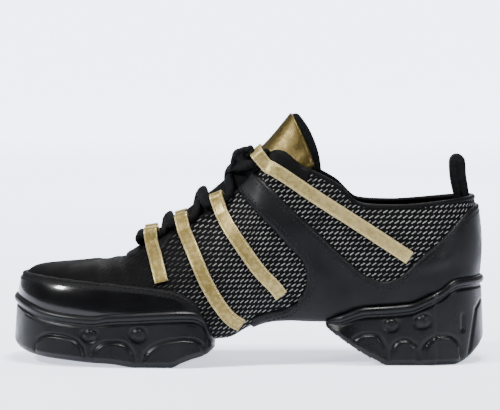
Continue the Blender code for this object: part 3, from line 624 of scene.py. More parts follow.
# %% [markdown]
# The sporty mesh is black with short grey floats of yarn that slant, each row set off by half a step.
# A float is a capsule: the distance to a short slanted line, worked out in each cell of the lay.

# %% Mesh cloth
FLOAT_PITCH = 3.15
FLOAT_ROW = 2.9
FLOAT_SLANT = 32
FLOAT_HALF = 1.15
FLOAT_ROUND = 0.46
GROUND_COLOUR = (0.002, 0.002, 0.0022)
FLOAT_COLOUR = (0.21, 0.21, 0.198)
# Where the floats lose their shine towards the toe
FLOAT_FADE = (-0.072, 0.006)

cloth = Finish("float_mesh", (0.01, 0.01, 0.011), 0.62, Specular_IOR_Level=0.04)
along_lay, across_lay = cloth.lay()[:2]
row_at = cloth.maths("DIVIDE", across_lay, FLOAT_ROW)
row_number = cloth.maths("FLOOR", row_at)
step_at = cloth.maths("ADD", cloth.maths("DIVIDE", along_lay, FLOAT_PITCH),
                      cloth.maths("MULTIPLY", row_number, 0.5))
cell_x = cloth.maths("MULTIPLY", cloth.maths("SUBTRACT", cloth.maths("FRACT", step_at), 0.5), FLOAT_PITCH)
cell_z = cloth.maths("MULTIPLY", cloth.maths("SUBTRACT", cloth.maths("FRACT", row_at), 0.5), FLOAT_ROW)
slant_cos, slant_sin = cos(radians(FLOAT_SLANT)), sin(radians(FLOAT_SLANT))
down_float = cloth.maths("ADD", cloth.maths("MULTIPLY", cell_x, slant_cos),
                         cloth.maths("MULTIPLY", cell_z, slant_sin))
off_float = cloth.maths("SUBTRACT", cloth.maths("MULTIPLY", cell_z, slant_cos),
                        cloth.maths("MULTIPLY", cell_x, slant_sin))
past_end = cloth.maths("MAXIMUM", cloth.maths("SUBTRACT", cloth.maths("ABSOLUTE", down_float), FLOAT_HALF), 0)
gap_squared = cloth.maths("ADD", cloth.maths("POWER", past_end, 2.0), cloth.maths("POWER", off_float, 2.0))
float_height = cloth.fade(cloth.maths("SQRT", gap_squared), FLOAT_ROUND, 0.1)
uneven = cloth.fade(cloth.noise(170, 2.0), 0.3, 0.7, 0.55, 1.0)
shine = cloth.maths("MULTIPLY", uneven, cloth.fade(cloth.along_shoe(), *FLOAT_FADE, 0.07, 1.0))
cloth.tint(cloth.maths("MULTIPLY", float_height, shine), GROUND_COLOUR, FLOAT_COLOUR, 0.05, 0.95)
cloth.bump(float_height, 0.35)
cloth.bump(cloth.noise(1500, 2.0), 0.1, 0.5)
MESH_CLOTH = cloth.material

# %% [markdown]
# Lining, lace and tape are plain black yarn. Waves across and along the lay make the ribs, and a
# little sheen on the edges makes them look like cloth.

# %% Lining, lace and tape
def yarn(name, colour, rib_along, rib_across, depth_mm):
    """Woven yarn with ribs a set number of millimetres apart."""
    made = Finish(name, colour, 0.8, Specular_IOR_Level=0.06)
    along, across = made.lay()[:2]
    ribs = made.maths("MULTIPLY", made.maths("SINE", made.maths("MULTIPLY", along, 2 * pi / rib_along)),
                      made.maths("SINE", made.maths("MULTIPLY", across, 2 * pi / rib_across)))
    made.bump(ribs, depth_mm, 0.8)
    made.bump(made.noise(1800, 2.0), 0.08, 0.5)
    made.tint(made.noise(400, 3.0), [c * 0.7 for c in colour], [c * 1.35 for c in colour])
    return made.material


LINING = yarn("lining_cloth_black", (0.003, 0.003, 0.0033), 1.1, 1.1, 0.12)
LACE_WEAVE = yarn("lace_weave", (0.004, 0.004, 0.0044), 1.6, 1.5, 0.3)
TAPE_WEAVE = yarn("tape_weave", (0.004, 0.004, 0.0044), 1.5, 1.2, 0.25)
BLACK_THREAD = yarn("black_thread", (0.011, 0.011, 0.0116), 0.8, 0.8, 0.05)

thread = Finish("gold_thread", (0.42, 0.33, 0.15), 0.55)
thread.tint(thread.noise(900), (0.32, 0.25, 0.11), (0.52, 0.43, 0.22))
GOLD_THREAD = thread.material
print("finishes:", len(bpy.data.materials))

# %% [markdown]
# Sections fan round the toe and the heel and run parallel between them. The fan's steps are crowded
# towards the tip, where the outline turns fastest.

# %% Close sections
TIP_CROWD = 1.25


def sections(side, step, toe_steps, heel_steps):
    """Half sections of one side, close together, from the toe tip to the heel tip."""
    found = []
    for k in range(toe_steps):
        angle = pi / 2 * (k / toe_steps) ** TIP_CROWD
        forward = cos(angle) ** (2 / TOE_POWER)
        ridge_x = TOE_CENTRE_X - TOE_RIDGE * forward
        found.append(Station(side, TOE_CENTRE_X - TOE_ROUND * forward, sin(angle) ** (2 / TOE_POWER),
                             ridge_x, 1.0, ridge_x))
    count = round((HEEL_CENTRE_X - TOE_CENTRE_X) / step)
    for k in range(count):
        x = TOE_CENTRE_X + (HEEL_CENTRE_X - TOE_CENTRE_X) * k / count
        found.append(Station(side, x, 1.0, x, 1.0, x))
    for k in range(heel_steps, -1, -1):
        angle = pi / 2 * (k / heel_steps) ** TIP_CROWD
        back = cos(angle) ** (2 / HEEL_POWER) if k < heel_steps else 0.0
        end = sin(angle) ** (2 / HEEL_POWER)
        found.append(Station(side, HEEL_CENTRE_X + HEEL_ROUND * back, end,
                             HEEL_CENTRE_X + COLLAR_ROUND * back, end, HEEL_CENTRE_X + HEEL_SPINE * back))
    return found


def surface_point(side, x, z):
    """A point of the upper's outer face in side view."""
    return lifted(Station(side, x, 1.0, x, 1.0, x).plan_at(z), z)


def surface_normal(side, x, z, step=0.3):
    """The outward direction of the upper's side."""
    along = surface_point(side, x + step, z) - surface_point(side, x - step, z)
    up = surface_point(side, x, z + step) - surface_point(side, x, z - step)
    normal = along.cross(up).normalized()
    return normal if side == "outer" else -normal


UPPER_STEP = 1.6
UPPER_TOE_FAN = 46
UPPER_HEEL_FAN = 34
UPPER_SECTIONS = {side: sections(side, UPPER_STEP, UPPER_TOE_FAN, UPPER_HEEL_FAN) for side in SIDES}
print("sections a side:", len(UPPER_SECTIONS["outer"]))

# %% [markdown]
# The sole comes in two moulded rubber units, with a bare arch between them. Each has a round bead
# along its rim, a groove under it, and arched pads and studs on its wall. The wall is one fine grid, and
# the pads are pushed out of it by their outline's distance, which rounds their edges as a mould does.

# %% Sizes of the sole units
MEETING_GAP = 0.35
THIN_END_GAP = 1.3
SOLE_COLUMNS = ("x", "rim", "tread")
FOREFOOT_SOLE = (
    (-133, 39.0, 15.4),
    (-128.5, 37.6, 8.8),
    (-122, 34.6, 6.1),
    (-113, 31.2, 4.5),
    (-100, 29.2, 3.4),
    (-86, 28.3, 2.3),
    (-77, 29.6, 1.9),
    (-62, 30.4, 0.0),
    (-43, 31.4, 0.0),
    (-37, 31.6, 2.6),
    (-31, 31.4, 4.8),
    (-26, 29.6, 6.3),
    (-22, 22.4, 8.5),
    (-18, 14.2, 11.6),
)
HEEL_SOLE = (
    (43, 24.9, 21.0),
    (53, 28.8, 13.8),
    (65, 32.6, 6.0),
    (73, 33.1, 2.0),
    (77, 33.3, 0.0),
    (90, 34.6, 0.0),
    (99, 38.4, 0.0),
    (106.5, 42.4, 0.0),
    (113, 47.4, 0.0),
    (118, 48.4, 1.6),
    (125, 48.6, 7.4),
    (131, 48.6, 17.0),
)
# Profile of a sole's side below its rim: out is measured from the cup's edge, down from the rim.
# Both shrink where the unit runs out to a thin end.
RIM_PROFILE = ((0.2, 0.9), (1.2, 0.0), (2.4, 0.9), (2.8, 2.4), (2.4, 3.9), (1.3, 4.7),
               (1.3, 5.9), (2.3, 7.0))
FULL_SIDE = 13.0
TREAD_EDGE_OUT = 3.4
TREAD_EDGE_UP = 3.2
TREAD_INSET = 1.2
FOREFOOT_ARCHES = (
    (-119, -91, 1.4, 16.6, -1.5),
    (-86, -63.5, 1.2, 13.8, 0.0),
    (-58, -24.5, 1.2, 15.0, 2.4),
)
HEEL_ARCHES = (
    (58.5, 76, 1.4, 17.2, 0.0),
    (79.5, 93.5, 1.2, 14.0, 0.0),
    (96.5, 118, 1.4, 16.2, 1.0),
)
FOREFOOT_STUDS = ((-88.0, 18.0), (-60.7, 18.6))
HEEL_STUDS = ((79.4, 23.2), (97.0, 25.0))
STUD_RADIUS = 3.2
LUG_RAISE = 1.1
ARCH_POWER = 2.6
ARCH_STEPS = 24
STUD_STEPS = 24
PAD_EDGE = 0.9
PAD_MOAT = 0.8
MOAT_AT = 0.6
MOAT_WIDTH = 0.7
SOLE_STEP = 0.9
SOLE_TOE_FAN = 120
SOLE_HEEL_FAN = 64
CUP_ROWS = 4
BEAD_PIECES = 4
BEAD_OUT = 0.8
WALL_ROWS = 44
TREAD_ROWS = 5
# The pads grow over the first rows under the bead
PUSH_ROWS = 3
# Lines pressed into the wall in side view, with their width and depth
FOREFOOT_LINES = (((-124, 27.7), (-111.6, 23.7), (-100.8, 22.6)), ((-40.4, 26.0), (-28, 24.3)))
HEEL_LINES = (((119.5, 27.7), (119.5, 19.2)), ((130.8, 35.0), (127.4, 30.5), (122.9, 4.0)))
LINE_WIDTH = 0.8
LINE_DEPTH = 0.8
# Steps on the front slope of the heel unit
SLOPE_END = 74.0
SLOPE_PITCH = 6.2
SLOPE_DEPTH = 1.0
SLOPE_STEEP = 4.0


# %% Fine sole units
def arch_outline(table, front, rear, foot, crown, lean):
    """An arch in side view that stands on the tread's edge."""
    xs = [front + (rear - front) * k / ARCH_STEPS for k in range(ARCH_STEPS + 1)]
    lows = [smooth(table, SOLE_COLUMNS, "tread", x) + foot for x in xs]
    points = []
    for k, (x, low) in enumerate(zip(xs, lows)):
        t = 2 * k / ARCH_STEPS - 1
        height = max(1 - abs(t) ** ARCH_POWER, 0.0) ** (1 / ARCH_POWER)
        points.append((x, low + (crown + lean * t - low) * height))
    return points + list(zip(xs, lows))[-2:0:-1]


def stud_outline(x, z):
    """A round stud in side view."""
    turns = [2 * pi * k / STUD_STEPS for k in range(STUD_STEPS)]
    return [(x + STUD_RADIUS * cos(a), z + STUD_RADIUS * sin(a)) for a in turns]


def sole_profile(station, table):
    """Half profile of a unit from the cup's middle over the rim and down to the tread's middle."""
    rim = smooth(table, SOLE_COLUMNS, "rim", station.foot_x)
    tread = smooth(table, SOLE_COLUMNS, "tread", station.foot_x)
    if table is HEEL_SOLE and station.foot_x < SLOPE_END:
        step_share = (SLOPE_END - station.foot_x) / SLOPE_PITCH % 1.0 - 0.5
        tread += SLOPE_DEPTH * SLOPE_STEEP * step_share ** 3
    clear = MEETING_GAP if rim > station.girth else THIN_END_GAP
    low = station.floor - clear
    depth = station.girth - low
    points = [lifted(station.spine, last("floor", station.spine.x) - clear)]
    rim_angle = asin(min(max(station.girth - rim, 0.0) / depth, 1.0))
    for k in range(CUP_ROWS + 1):
        angle = max(pi / 2 * (1 - k / CUP_ROWS), rim_angle)
        points.append(station.at((station.wrap + clear) * cos(angle) - station.wrap,
                                 station.girth - depth * sin(angle)))
    share = min((rim - tread) / FULL_SIDE, 1.0)
    edge = station.plan_at(rim, clear)
    bead = flow([Vector(pair) for pair in RIM_PROFILE], BEAD_PIECES)
    for k, (out, down) in enumerate(bead):
        full = out + BEAD_OUT * sin(pi * k / (len(bead) - 1))
        points.append(lifted(edge + station.out * full * share, rim - down * share))
    top = points[-1]
    foot = lifted(edge + station.out * TREAD_EDGE_OUT * share, tread + TREAD_EDGE_UP * share)
    points += [top.lerp(foot, k / WALL_ROWS) for k in range(1, WALL_ROWS + 1)]
    inset = lifted(edge + station.out * TREAD_INSET * share, tread)
    corner = lifted(edge + station.out * TREAD_EDGE_OUT * share * 0.9, tread + TREAD_EDGE_UP * share * 0.25)
    points += [foot.lerp(corner, t).lerp(corner.lerp(inset, t), t) for t in (0.25, 0.5, 0.75, 1.0)]
    middle = lifted(station.spine, smooth(table, SOLE_COLUMNS, "tread", station.spine.x))
    points += [inset.lerp(middle, k / TREAD_ROWS) for k in range(1, TREAD_ROWS + 1)]
    return points


WALL_START = CUP_ROWS + 2 + (len(RIM_PROFILE) - 1) * BEAD_PIECES


def wall_push(spots, pads, lines):
    """How far each (x, z) spot of the wall stands out for a pad, or back for a line."""
    raised = np.full(len(spots), -FAR)
    for outline in pads:
        raised = np.maximum(raised, inside_by(spots, outline))
    push = LUG_RAISE * np.clip(raised / PAD_EDGE, 0, 1) ** 0.5
    push -= PAD_MOAT * np.exp(-((raised + MOAT_AT) / MOAT_WIDTH) ** 2)
    for line in lines:
        push -= LINE_DEPTH * np.exp(-(gap_to_line(spots, np.array(line, float)) / LINE_WIDTH) ** 2)
    return push


def fine_sole(name, table, pads, lines, node):
    """One rubber unit, both halves welded, with its pads and lines."""
    work = bmesh.new()
    for side in SIDES:
        fan = sections(side, SOLE_STEP, SOLE_TOE_FAN, SOLE_HEEL_FAN)
        chosen = [station for station in fan if table[0][0] <= station.foot_x <= table[-1][0]]
        profiles = [sole_profile(station, table) for station in chosen]
        made = lay_grid(work, len(chosen) - 1, len(profiles[0]) - 1,
                        lambda c, r: (profiles[c][r], (profiles[c][r].x, profiles[c][r].z)))
        pushes = wall_push(np.array([(v.co.x, v.co.z) for v, c, r in made]), pads, lines)
        for (vertex, column, row), push in zip(made, pushes):
            if WALL_START < row <= WALL_START + WALL_ROWS:
                share = min((row - WALL_START) / PUSH_ROWS, 1.0)
                vertex.co += lifted(chosen[column].out, 0.0) * (push * share)
    weld(work)
    bmesh.ops.holes_fill(work, edges=[edge for edge in work.edges if edge.is_boundary])
    bmesh.ops.recalc_face_normals(work, faces=work.faces)
    return finish_piece(name, work, RUBBER, [node])


forefoot_pads = [arch_outline(FOREFOOT_SOLE, *arch) for arch in FOREFOOT_ARCHES]
forefoot_pads += [stud_outline(*stud) for stud in FOREFOOT_STUDS]
heel_pads = [arch_outline(HEEL_SOLE, *arch) for arch in HEEL_ARCHES]
heel_pads += [stud_outline(*stud) for stud in HEEL_STUDS]
fine_sole("forefoot_rubber", FOREFOOT_SOLE, forefoot_pads, FOREFOOT_LINES, "forefoot_sole")
fine_sole("heel_rubber", HEEL_SOLE, heel_pads, HEEL_LINES, "heel_sole")

# %% [markdown]
# The upper is one skin round the whole last. Its lay runs in millimetres along the shoe and up the wall,
# so the floats of the mesh keep their size everywhere. A live Solidify turns the skin into cloth with a
# lining inside.

# %% The upper's skin
WRAP_ROWS = 6
WALL_ROWS_UPPER = 38
LAY_ROW = 24


def skin_profile(station):
    """The outer face from its lower edge to its top edge."""
    edge = station.at(-station.wrap - LASTING_MARGIN, 0.0)
    if station.arched():
        edge = lifted(station.spine, 0.0)
    edge.z = last("floor", edge.x)
    points = [edge]
    for k in range(WRAP_ROWS):
        angle = pi / 2 * (1 - k / WRAP_ROWS)
        points.append(station.at(station.wrap * (cos(angle) - 1),
                                 station.girth - (station.girth - station.floor) * sin(angle)))
    for k in range(WALL_ROWS_UPPER + 1):
        points.append(lifted(*station.wall(station.turn * k / WALL_ROWS_UPPER)))
    return points


def upper_skin():
    """The upper's outer face as an open bmesh."""
    work = bmesh.new()
    for side in SIDES:
        profiles = [skin_profile(station) for station in UPPER_SECTIONS[side]]
        along = [0.0]
        for before, after in zip(profiles, profiles[1:]):
            along.append(along[-1] + (after[LAY_ROW] - before[LAY_ROW]).length)
        made = lay_grid(work, len(profiles) - 1, len(profiles[0]) - 1,
                        lambda c, r: (profiles[c][r], (along[c], profiles[c][r].z)))
        if side == "inner":
            faces = list(dict.fromkeys(face for vertex, c, r in made for face in vertex.link_faces))
            bmesh.ops.reverse_faces(work, faces=faces)
    weld(work)
    work.normal_update()
    return work


# %% [markdown]
# A shoe that bends at the ball has a few soft creases across the vamp and behind the counter. Each is a
# line in side view with a width and a depth, pressed into the skin as a smooth trough.

# %% Creases
CREASES = (
    {"line": ((-84, 60.4), (-79, 55.5), (-75, 49.0)), "width": 3.2, "depth": 0.55},
    {"line": ((-74, 62.5), (-70, 57.0), (-66, 50.0)), "width": 2.6, "depth": 0.45},
    {"line": ((34, 66.0), (44, 57.0), (52, 47.0)), "width": 6.0, "depth": 0.5},
    {"line": ((98, 54.0), (107, 52.0), (116, 55.0)), "width": 5.0, "depth": 0.4},
    {"line": ((95, 55.6), (107, 58.6)), "width": 3.4, "depth": -0.9},
)
CREASE_LIP = 0.35
LIP_AT = 1.7


def crease(work):
    """Press the creases in, with a low lip beside each."""
    verts = list(work.verts)
    spots = np.array([(v.co.x, v.co.z) for v in verts])
    depth = np.zeros(len(spots))
    for row in CREASES:
        gap = gap_to_line(spots, np.array(row["line"], float)) / row["width"]
        depth += row["depth"] * np.exp(-gap ** 2)
        depth -= CREASE_LIP * row["depth"] * np.exp(-(gap - LIP_AT) ** 2)
    for vertex, amount in zip(verts, depth):
        vertex.co -= vertex.normal * amount
    work.normal_update()


SKIN = upper_skin()
crease(SKIN)
upper_cloth = finish_piece("upper_cloth", SKIN.copy(), MESH_CLOTH, ["upper"])
give_wall(upper_cloth, WALL, -1.0, LINING)

# %% [markdown]
# Panels are cut from copies of the skin. Near its edge a panel curves down to the skin, like leather with
# a pared edge, and its seam is traced at a set distance inside the edge for the stitches.

# %% Panels and their seams
PANEL_LIFT = 1.7
PANEL_EDGE = 1.3
PANEL_WALL = 0.9
SINK = -0.25
HIDDEN_GAP = 4.0
SHORTEST_SEAM = 4


def panel(name, outline, material, lift=PANEL_LIFT, replaces=(), pared=PANEL_EDGE):
    """A piece of leather on the upper, inside an outline in side view."""
    work = SKIN.copy()
    trim(work, lambda spots: inside_by(spots, outline))
    work.normal_update()
    verts = list(work.verts)
    depth = inside_by(np.array([(v.co.x, v.co.z) for v in verts]), outline)
    share = np.clip(depth / pared, 0, 1)
    lay = work.verts.layers.float_vector["lay"]
    rise = SINK + (lift - SINK) * np.sqrt(1 - (1 - share) ** 2)
    for vertex, amount, inward in zip(verts, rise, depth):
        vertex.co += vertex.normal * amount
        vertex[lay].z = inward
    loose = [v for v in work.verts if not v.link_faces]
    bmesh.ops.delete(work, geom=loose, context="VERTS")
    piece = finish_piece(name, work, material, replaces)
    give_wall(piece, PANEL_WALL, -1.0)
    return piece


def seam(outline, inset, lift, hidden_line):
    """Lines on a panel's face at an inset from its edge, without the stretch along a hidden line."""
    work = SKIN.copy()
    cut = trim(work, lambda spots: inside_by(spots, outline) - inset)
    work.normal_update()
    found = []
    for run in chains(cut):
        part = []
        for point, normal in run:
            spot = np.array([(point.x, point.z)])
            if gap_to_line(spot, hidden_line)[0] < HIDDEN_GAP + inset:
                if len(part) > SHORTEST_SEAM:
                    found.append(part)
                part = []
            else:
                part.append((point + normal * lift, normal))
        if len(part) > SHORTEST_SEAM:
            found.append(part)
    work.free()
    return found


# %% [markdown]
# A stitch is a tiny capsule that lies along its seam and dips in at both ends. Hundreds of them are
# joined in one mesh, so each has only a few faces.

# %% Stitches
PANEL_STITCH = (2.5, 1.9, 0.4)
STRAP_STITCH = (1.9, 1.4, 0.2)


def sew(name, runs, material, stitch=PANEL_STITCH):
    """Lay stitches along the runs; a stitch is its pitch, its length and its half thickness."""
    pitch, long, thick = stitch
    work = bmesh.new()
    work.verts.layers.float_vector.new("lay")
    count = 0
    for run in runs:
        points = even([point for point, normal in run], pitch)
        for k, (a, b) in enumerate(zip(points, points[1:])):
            normal = run[min(int(k / len(points) * len(run)), len(run) - 1)][1]
            way = (b - a).normalized()
            across = way.cross(normal).normalized()
            upright = across.cross(way)
            made = bmesh.ops.create_uvsphere(work, u_segments=5, v_segments=4, radius=1.0)["verts"]
            middle = a.lerp(b, 0.5)
            for vertex in made:
                x, y, z = vertex.co
                vertex.co = middle + way * (z * long / 2) + across * (x * thick) + upright * (y * thick)
            count += 1
    print(name, count, "stitches")
    return finish_piece(name, work, material)


# %% [markdown]
# The toe cap is one shiny band round the toe. The counter is cut in one with the saddle over the instep,
# and it runs forward under the arch. The vamp and the facing along the throat are thinner leather.

# %% Outlines of the panels
TOE_CAP_SEAM = ((-140, 50.2), (-121, 49.6), (-112, 48.9), (-104, 48.2), (-86, 46.8), (-68, 45.4),
                (-52, 44.0), (-41, 42.2), (-34, 39.4), (-29, 35.8), (-26.6, 32.4))
COUNTER_FRONT = ((1.4, 8.0), (1.4, 26.4), (7, 29.0), (14, 30.8), (21, 32.4), (28.2, 37.6), (31.4, 43.5),
                 (32.2, 50.0), (30.6, 56.0), (28, 60.0), (20.6, 67.8), (12, 77.0), (3, 86.0), (-6, 96.0),
                 (-12, 104.0))
COUNTER_REAR = ((-2, 114.0), (7.6, 104.0), (14.4, 97.0), (24, 87.6), (33.6, 79.0), (42.7, 70.6),
                (53.4, 60.5), (63, 52.0), (70, 48.2), (77, 46.9), (85, 50.3), (94, 59.3), (107, 70.0),
                (119.5, 83.0), (128, 89.0), (140, 96.0))
ARCH_SKIN_REAR = 42.3
SEAM_TO_RIM = -1.2
OUTLINE_END_X = 140.0
VAMP_LIFT = 0.12
TOE_PARED = 3.6
SEAM_INSETS = (1.9, 4.1)
# The toe cap is tucked in behind the sole's bead
TOE_TUCK = -4.4
VAMP_OUTLINE = ((-140, 30.0), (-140, 80.0), (-86, 80.0), (-85, 60.0), (-82, 54.0), (-80, 46.5), (-84, 40.0))
# Facings between the straps, each an arc under the throat edge
FACING_LIFT = 0.9
FACINGS = (
    ((-72, 66.0), (-70, 58.6), (-64, 59.4), (-59, 62.0), (-57.5, 76.0)),
    ((-52, 84.0), (-52, 64.0), (-48.6, 63.4), (-46, 66.6), (-43, 70.4), (-39.5, 73.2), (-35, 74.6),
     (-33, 88.0)),
    ((-34, 95.0), (-34.5, 73.5), (-32, 74.6), (-28.8, 79.4), (-23.7, 82.6), (-20, 83.6), (-17, 98.0)),
    ((-8, 108.0), (-10, 96.0), (-4, 96.5), (2, 103.0), (6, 116.0)),
    ((2, 130.0), (3, 114.0), (8, 111.0), (16, 106.0), (24, 101.5), (30, 100.5), (33.5, 104.0),
     (36, 110.0), (38, 125.0)),
)


def rim_line(table, start, end, rise=SEAM_TO_RIM, step=4.0):
    """Points just over a sole's rim, from start to end in x."""
    count = max(int(abs(end - start) / step), 1)
    xs = [start + (end - start) * k / count for k in range(count + 1)]
    return [(x, smooth(table, SOLE_COLUMNS, "rim", x) + rise) for x in xs]


def curved(points, pieces=6):
    """An outline's stretch as a smooth curve of (x, z) pairs."""
    return [tuple(point) for point in flow([Vector(pair) for pair in points], pieces)]


toe_rim = rim_line(FOREFOOT_SOLE, TOE_CAP_SEAM[-1][0], -OUTLINE_END_X, TOE_TUCK)
TOE_OUTLINE = curved(TOE_CAP_SEAM) + toe_rim
heel_rim = rim_line(HEEL_SOLE, OUTLINE_END_X, HEEL_SOLE[0][0])
arch_edge = [(ARCH_SKIN_REAR, HEEL_SOLE[0][1] + SEAM_TO_RIM), (ARCH_SKIN_REAR, COUNTER_FRONT[0][1])]
COUNTER_OUTLINE = curved(COUNTER_FRONT[1:]) + curved(COUNTER_REAR) + heel_rim + arch_edge + [COUNTER_FRONT[0]]

# %% Cut and sew the panels
panel("vamp_leather", VAMP_OUTLINE, VAMP_LEATHER, VAMP_LIFT)
for number, outline in enumerate(FACINGS, 1):
    panel("throat_facing_%d" % number, curved(outline, 4), BINDING_LEATHER, FACING_LIFT)
panel("toe_cap_leather", TOE_OUTLINE, TOE_LEATHER, replaces=["toe_cap"], pared=TOE_PARED)
panel("counter_panel", COUNTER_OUTLINE, COUNTER_LEATHER, replaces=["heel_counter"])

toe_line = np.array(toe_rim, float)
heel_line = np.array(heel_rim + arch_edge + [COUNTER_FRONT[0], COUNTER_FRONT[1]], float)
panel_runs = []
for inset in SEAM_INSETS:
    panel_runs += seam(TOE_OUTLINE, inset, PANEL_LIFT, toe_line)
    panel_runs += seam(COUNTER_OUTLINE, inset, PANEL_LIFT, heel_line)
sew("panel_stitches", panel_runs, BLACK_THREAD)

# %% [markdown]
# Each strap is a flat strip that climbs the side and folds over the lace at its top. It is laid as a grid:
# rows across the strap lie on the upper, and after the throat edge they turn round the loop's middle. A
# Solidify gives it its thickness and a Bevel its bright edges.

# %% Straps
STRAP_THICK = 1.6
STRAP_LIFT = 0.65
STRAP_WIDTH = 7.6
STRAPS = (
    {"path": ((-47.9, 46.6), (-49.6, 53.0), (-51.6, 60.0), (-53.6, 65.8)), "rise": 4.6, "lean": 0.1},
    {"path": ((-4.6, 23.6), (-8.6, 26.0), (-12.4, 29.4), (-18, 37.0), (-24, 47.7), (-28.5, 57.9),
              (-32.5, 67.0), (-35.6, 73.6)), "rise": 6.2, "lean": 0.35, "cross": (0.5, 5.2)},
    {"path": ((18.2, 39.2), (14.1, 44.4), (5.9, 53.0), (-3.4, 66.0), (-10.6, 76.5), (-14.6, 84.0)),
     "rise": 8.0, "lean": 0.3, "cross": (0.5, 5.2)},
    {"path": ((89.6, 60.0), (79.7, 66.4), (67.2, 74.4), (51, 84.6), (34, 95.6), (18, 106.2),
              (10.8, 110.4)), "rise": 6.2, "lean": 0.15, "cross": (0.08, 3.8)},
)
LOOP_RADIUS = 3.7
LOOP_TURN = 200
STRAP_ACROSS = 8
STRAP_PIECES = 5
LOOP_ROWS = 16
STRAP_EDGE = 0.45
STRAP_SEAM = 0.72


def loop_frame(side, strap):
    """A strap loop's rising direction, its outward direction and its middle."""
    x, z = strap["path"][-1]
    last_x, last_z = strap["path"][-2]
    tip = surface_point(side, x, z)
    inward = Vector((0.0, 1.0 if side == "outer" else -1.0, 0.0))
    along = (tip - surface_point(side, last_x, last_z)).normalized()
    rise = (Vector((along.x, 0.0, 1.0)) + inward * strap["lean"]).normalized()
    across = along.cross(surface_normal(side, x, z))
    outward = across.cross(rise).normalized()
    if outward.dot(inward) > 0:
        outward.negate()
    foot = tip + surface_normal(side, x, z) * (STRAP_LIFT + STRAP_THICK / 2)
    return rise, outward, foot + rise * strap["rise"] - outward * LOOP_RADIUS


def strap_rows(side, strap):
    """Rows of (under point, outward) across a strap, from its lower end round its loop."""
    path = flow([Vector(pair) for pair in strap["path"]], STRAP_PIECES)
    shares = [2 * k / STRAP_ACROSS - 1 for k in range(STRAP_ACROSS + 1)]
    rows = []
    for k, (x, z) in enumerate(path):
        before, after = path[max(k - 1, 0)], path[min(k + 1, len(path) - 1)]
        normal = surface_normal(side, x, z)
        along = surface_point(side, *after) - surface_point(side, *before)
        across = along.cross(normal).normalized() * STRAP_WIDTH / 2
        row = []
        for share in shares:
            spot = (x + across.x * share, z + across.z * share)
            row.append((surface_point(side, *spot) + normal * STRAP_LIFT, normal))
        rows.append(row)
    rise, outward, hub = loop_frame(side, strap)
    through = rise.cross(outward).normalized()
    if through.dot(across) < 0:
        through.negate()
    across = through * STRAP_WIDTH / 2
    for k in range(LOOP_ROWS + 1):
        angle = radians(LOOP_TURN * k / LOOP_ROWS)
        spoke = outward * cos(angle) + rise * sin(angle)
        middle = hub + spoke * (LOOP_RADIUS - STRAP_THICK / 2)
        rows.append([(middle + across * share, spoke) for share in shares])
    return rows


def climb(rows):
    """Length along the middle of the rows, for the lay."""
    lengths = [0.0]
    half = len(rows[0]) // 2
    for before, after in zip(rows, rows[1:]):
        lengths.append(lengths[-1] + (after[half][0] - before[half][0]).length)
    return lengths


def face_out(work, outward):
    """Turn a sheet's faces if they look away from the outward direction of its first face."""
    work.faces.ensure_lookup_table()
    work.normal_update()
    if work.faces[0].normal.dot(outward) < 0:
        bmesh.ops.reverse_faces(work, faces=work.faces)
    work.normal_update()


def build_strap(side, number, strap):
    """One strap; returns its two rows of stitches."""
    rows = strap_rows(side, strap)
    lengths = climb(rows)
    work = bmesh.new()
    lay_grid(work, STRAP_ACROSS, len(rows) - 1,
             lambda c, r: (rows[r][c][0], (lengths[r], (c / STRAP_ACROSS - 0.5) * STRAP_WIDTH)))
    face_out(work, rows[0][0][1])
    name = "strap_%s_%d" % (side, number)
    piece = finish_piece("gold_" + name, work, GOLD, [name])
    give_wall(piece, STRAP_THICK, 1.0)
    edge = piece.modifiers.new("edge", "BEVEL")
    edge.width = STRAP_EDGE * MM
    edge.segments = 2
    edge.limit_method = "ANGLE"
    edge.angle_limit = radians(50)
    stop = len(rows) - LOOP_ROWS // 2
    runs = []
    for share in (-STRAP_SEAM, STRAP_SEAM):
        column = round((share + 1) / 2 * STRAP_ACROSS)
        runs.append([(row[column][0] + row[column][1] * STRAP_THICK, row[column][1]) for row in rows[:stop]])
    return runs


strap_runs = []
for side in SIDES:
    for number, strap in enumerate(STRAPS, 1):
        strap_runs += build_strap(side, number, strap)
sew("strap_stitches", strap_runs, GOLD_THREAD, STRAP_STITCH)

# %% [markdown]
# The tongue is a padded strip, arched across the foot. Its back is black lining and bulges with foam, and
# a gold panel with a rolled edge covers the front of its top end.

# %% Tongue
TONGUE = (
    (-77, 51.0, -75, 44.0, 15.0, 2.6),
    (-60, 61.8, -56, 47.0, 18.5, 3.2),
    (-44, 75.0, -38, 54.0, 20.5, 3.8),
    (-20, 93.5, -10, 68.0, 22.0, 4.6),
    (0, 112.0, 14, 86.0, 22.0, 5.6),
    (12.0, 123.6, 26.6, 98.0, 21.0, 6.4),
    (22.4, 136.0, 35.6, 106.6, 19.5, 6.8),
    (24.6, 138.6, 37.6, 107.2, 18.0, 5.8),
    (27.8, 138.9, 39.6, 107.6, 17.0, 4.4),
    (29.8, 136.8, 40.6, 108.2, 15.5, 2.4),
)
TONGUE_ROWS = 70
TONGUE_ROUND = 40
PAD_POWER = 5.0
EDGE_BULGE = 2.4
# The foam swells between the rows of loops
PAD_SWELL = 2.4
PAD_SWELL_END = 0.52
GOLD_START = 0.46
GOLD_END = 0.745
GOLD_SHARE = 0.96
GOLD_LIFT = 0.35
GOLD_ROLL = 1.1
GOLD_ROLL_WIDTH = 2.6
ROLL_INSET = 1.6
# The panel's edges sink into the pad
GOLD_SUNK = 0.9
SUNK_WIDTH = 0.8
GOLD_GRID = 36
GOLD_THICK = 0.8
# Lengths that turn shares of the tongue into millimetres
GOLD_LONG = 90
TONGUE_LONG = 120
TONGUE_LAY_HALF = 30


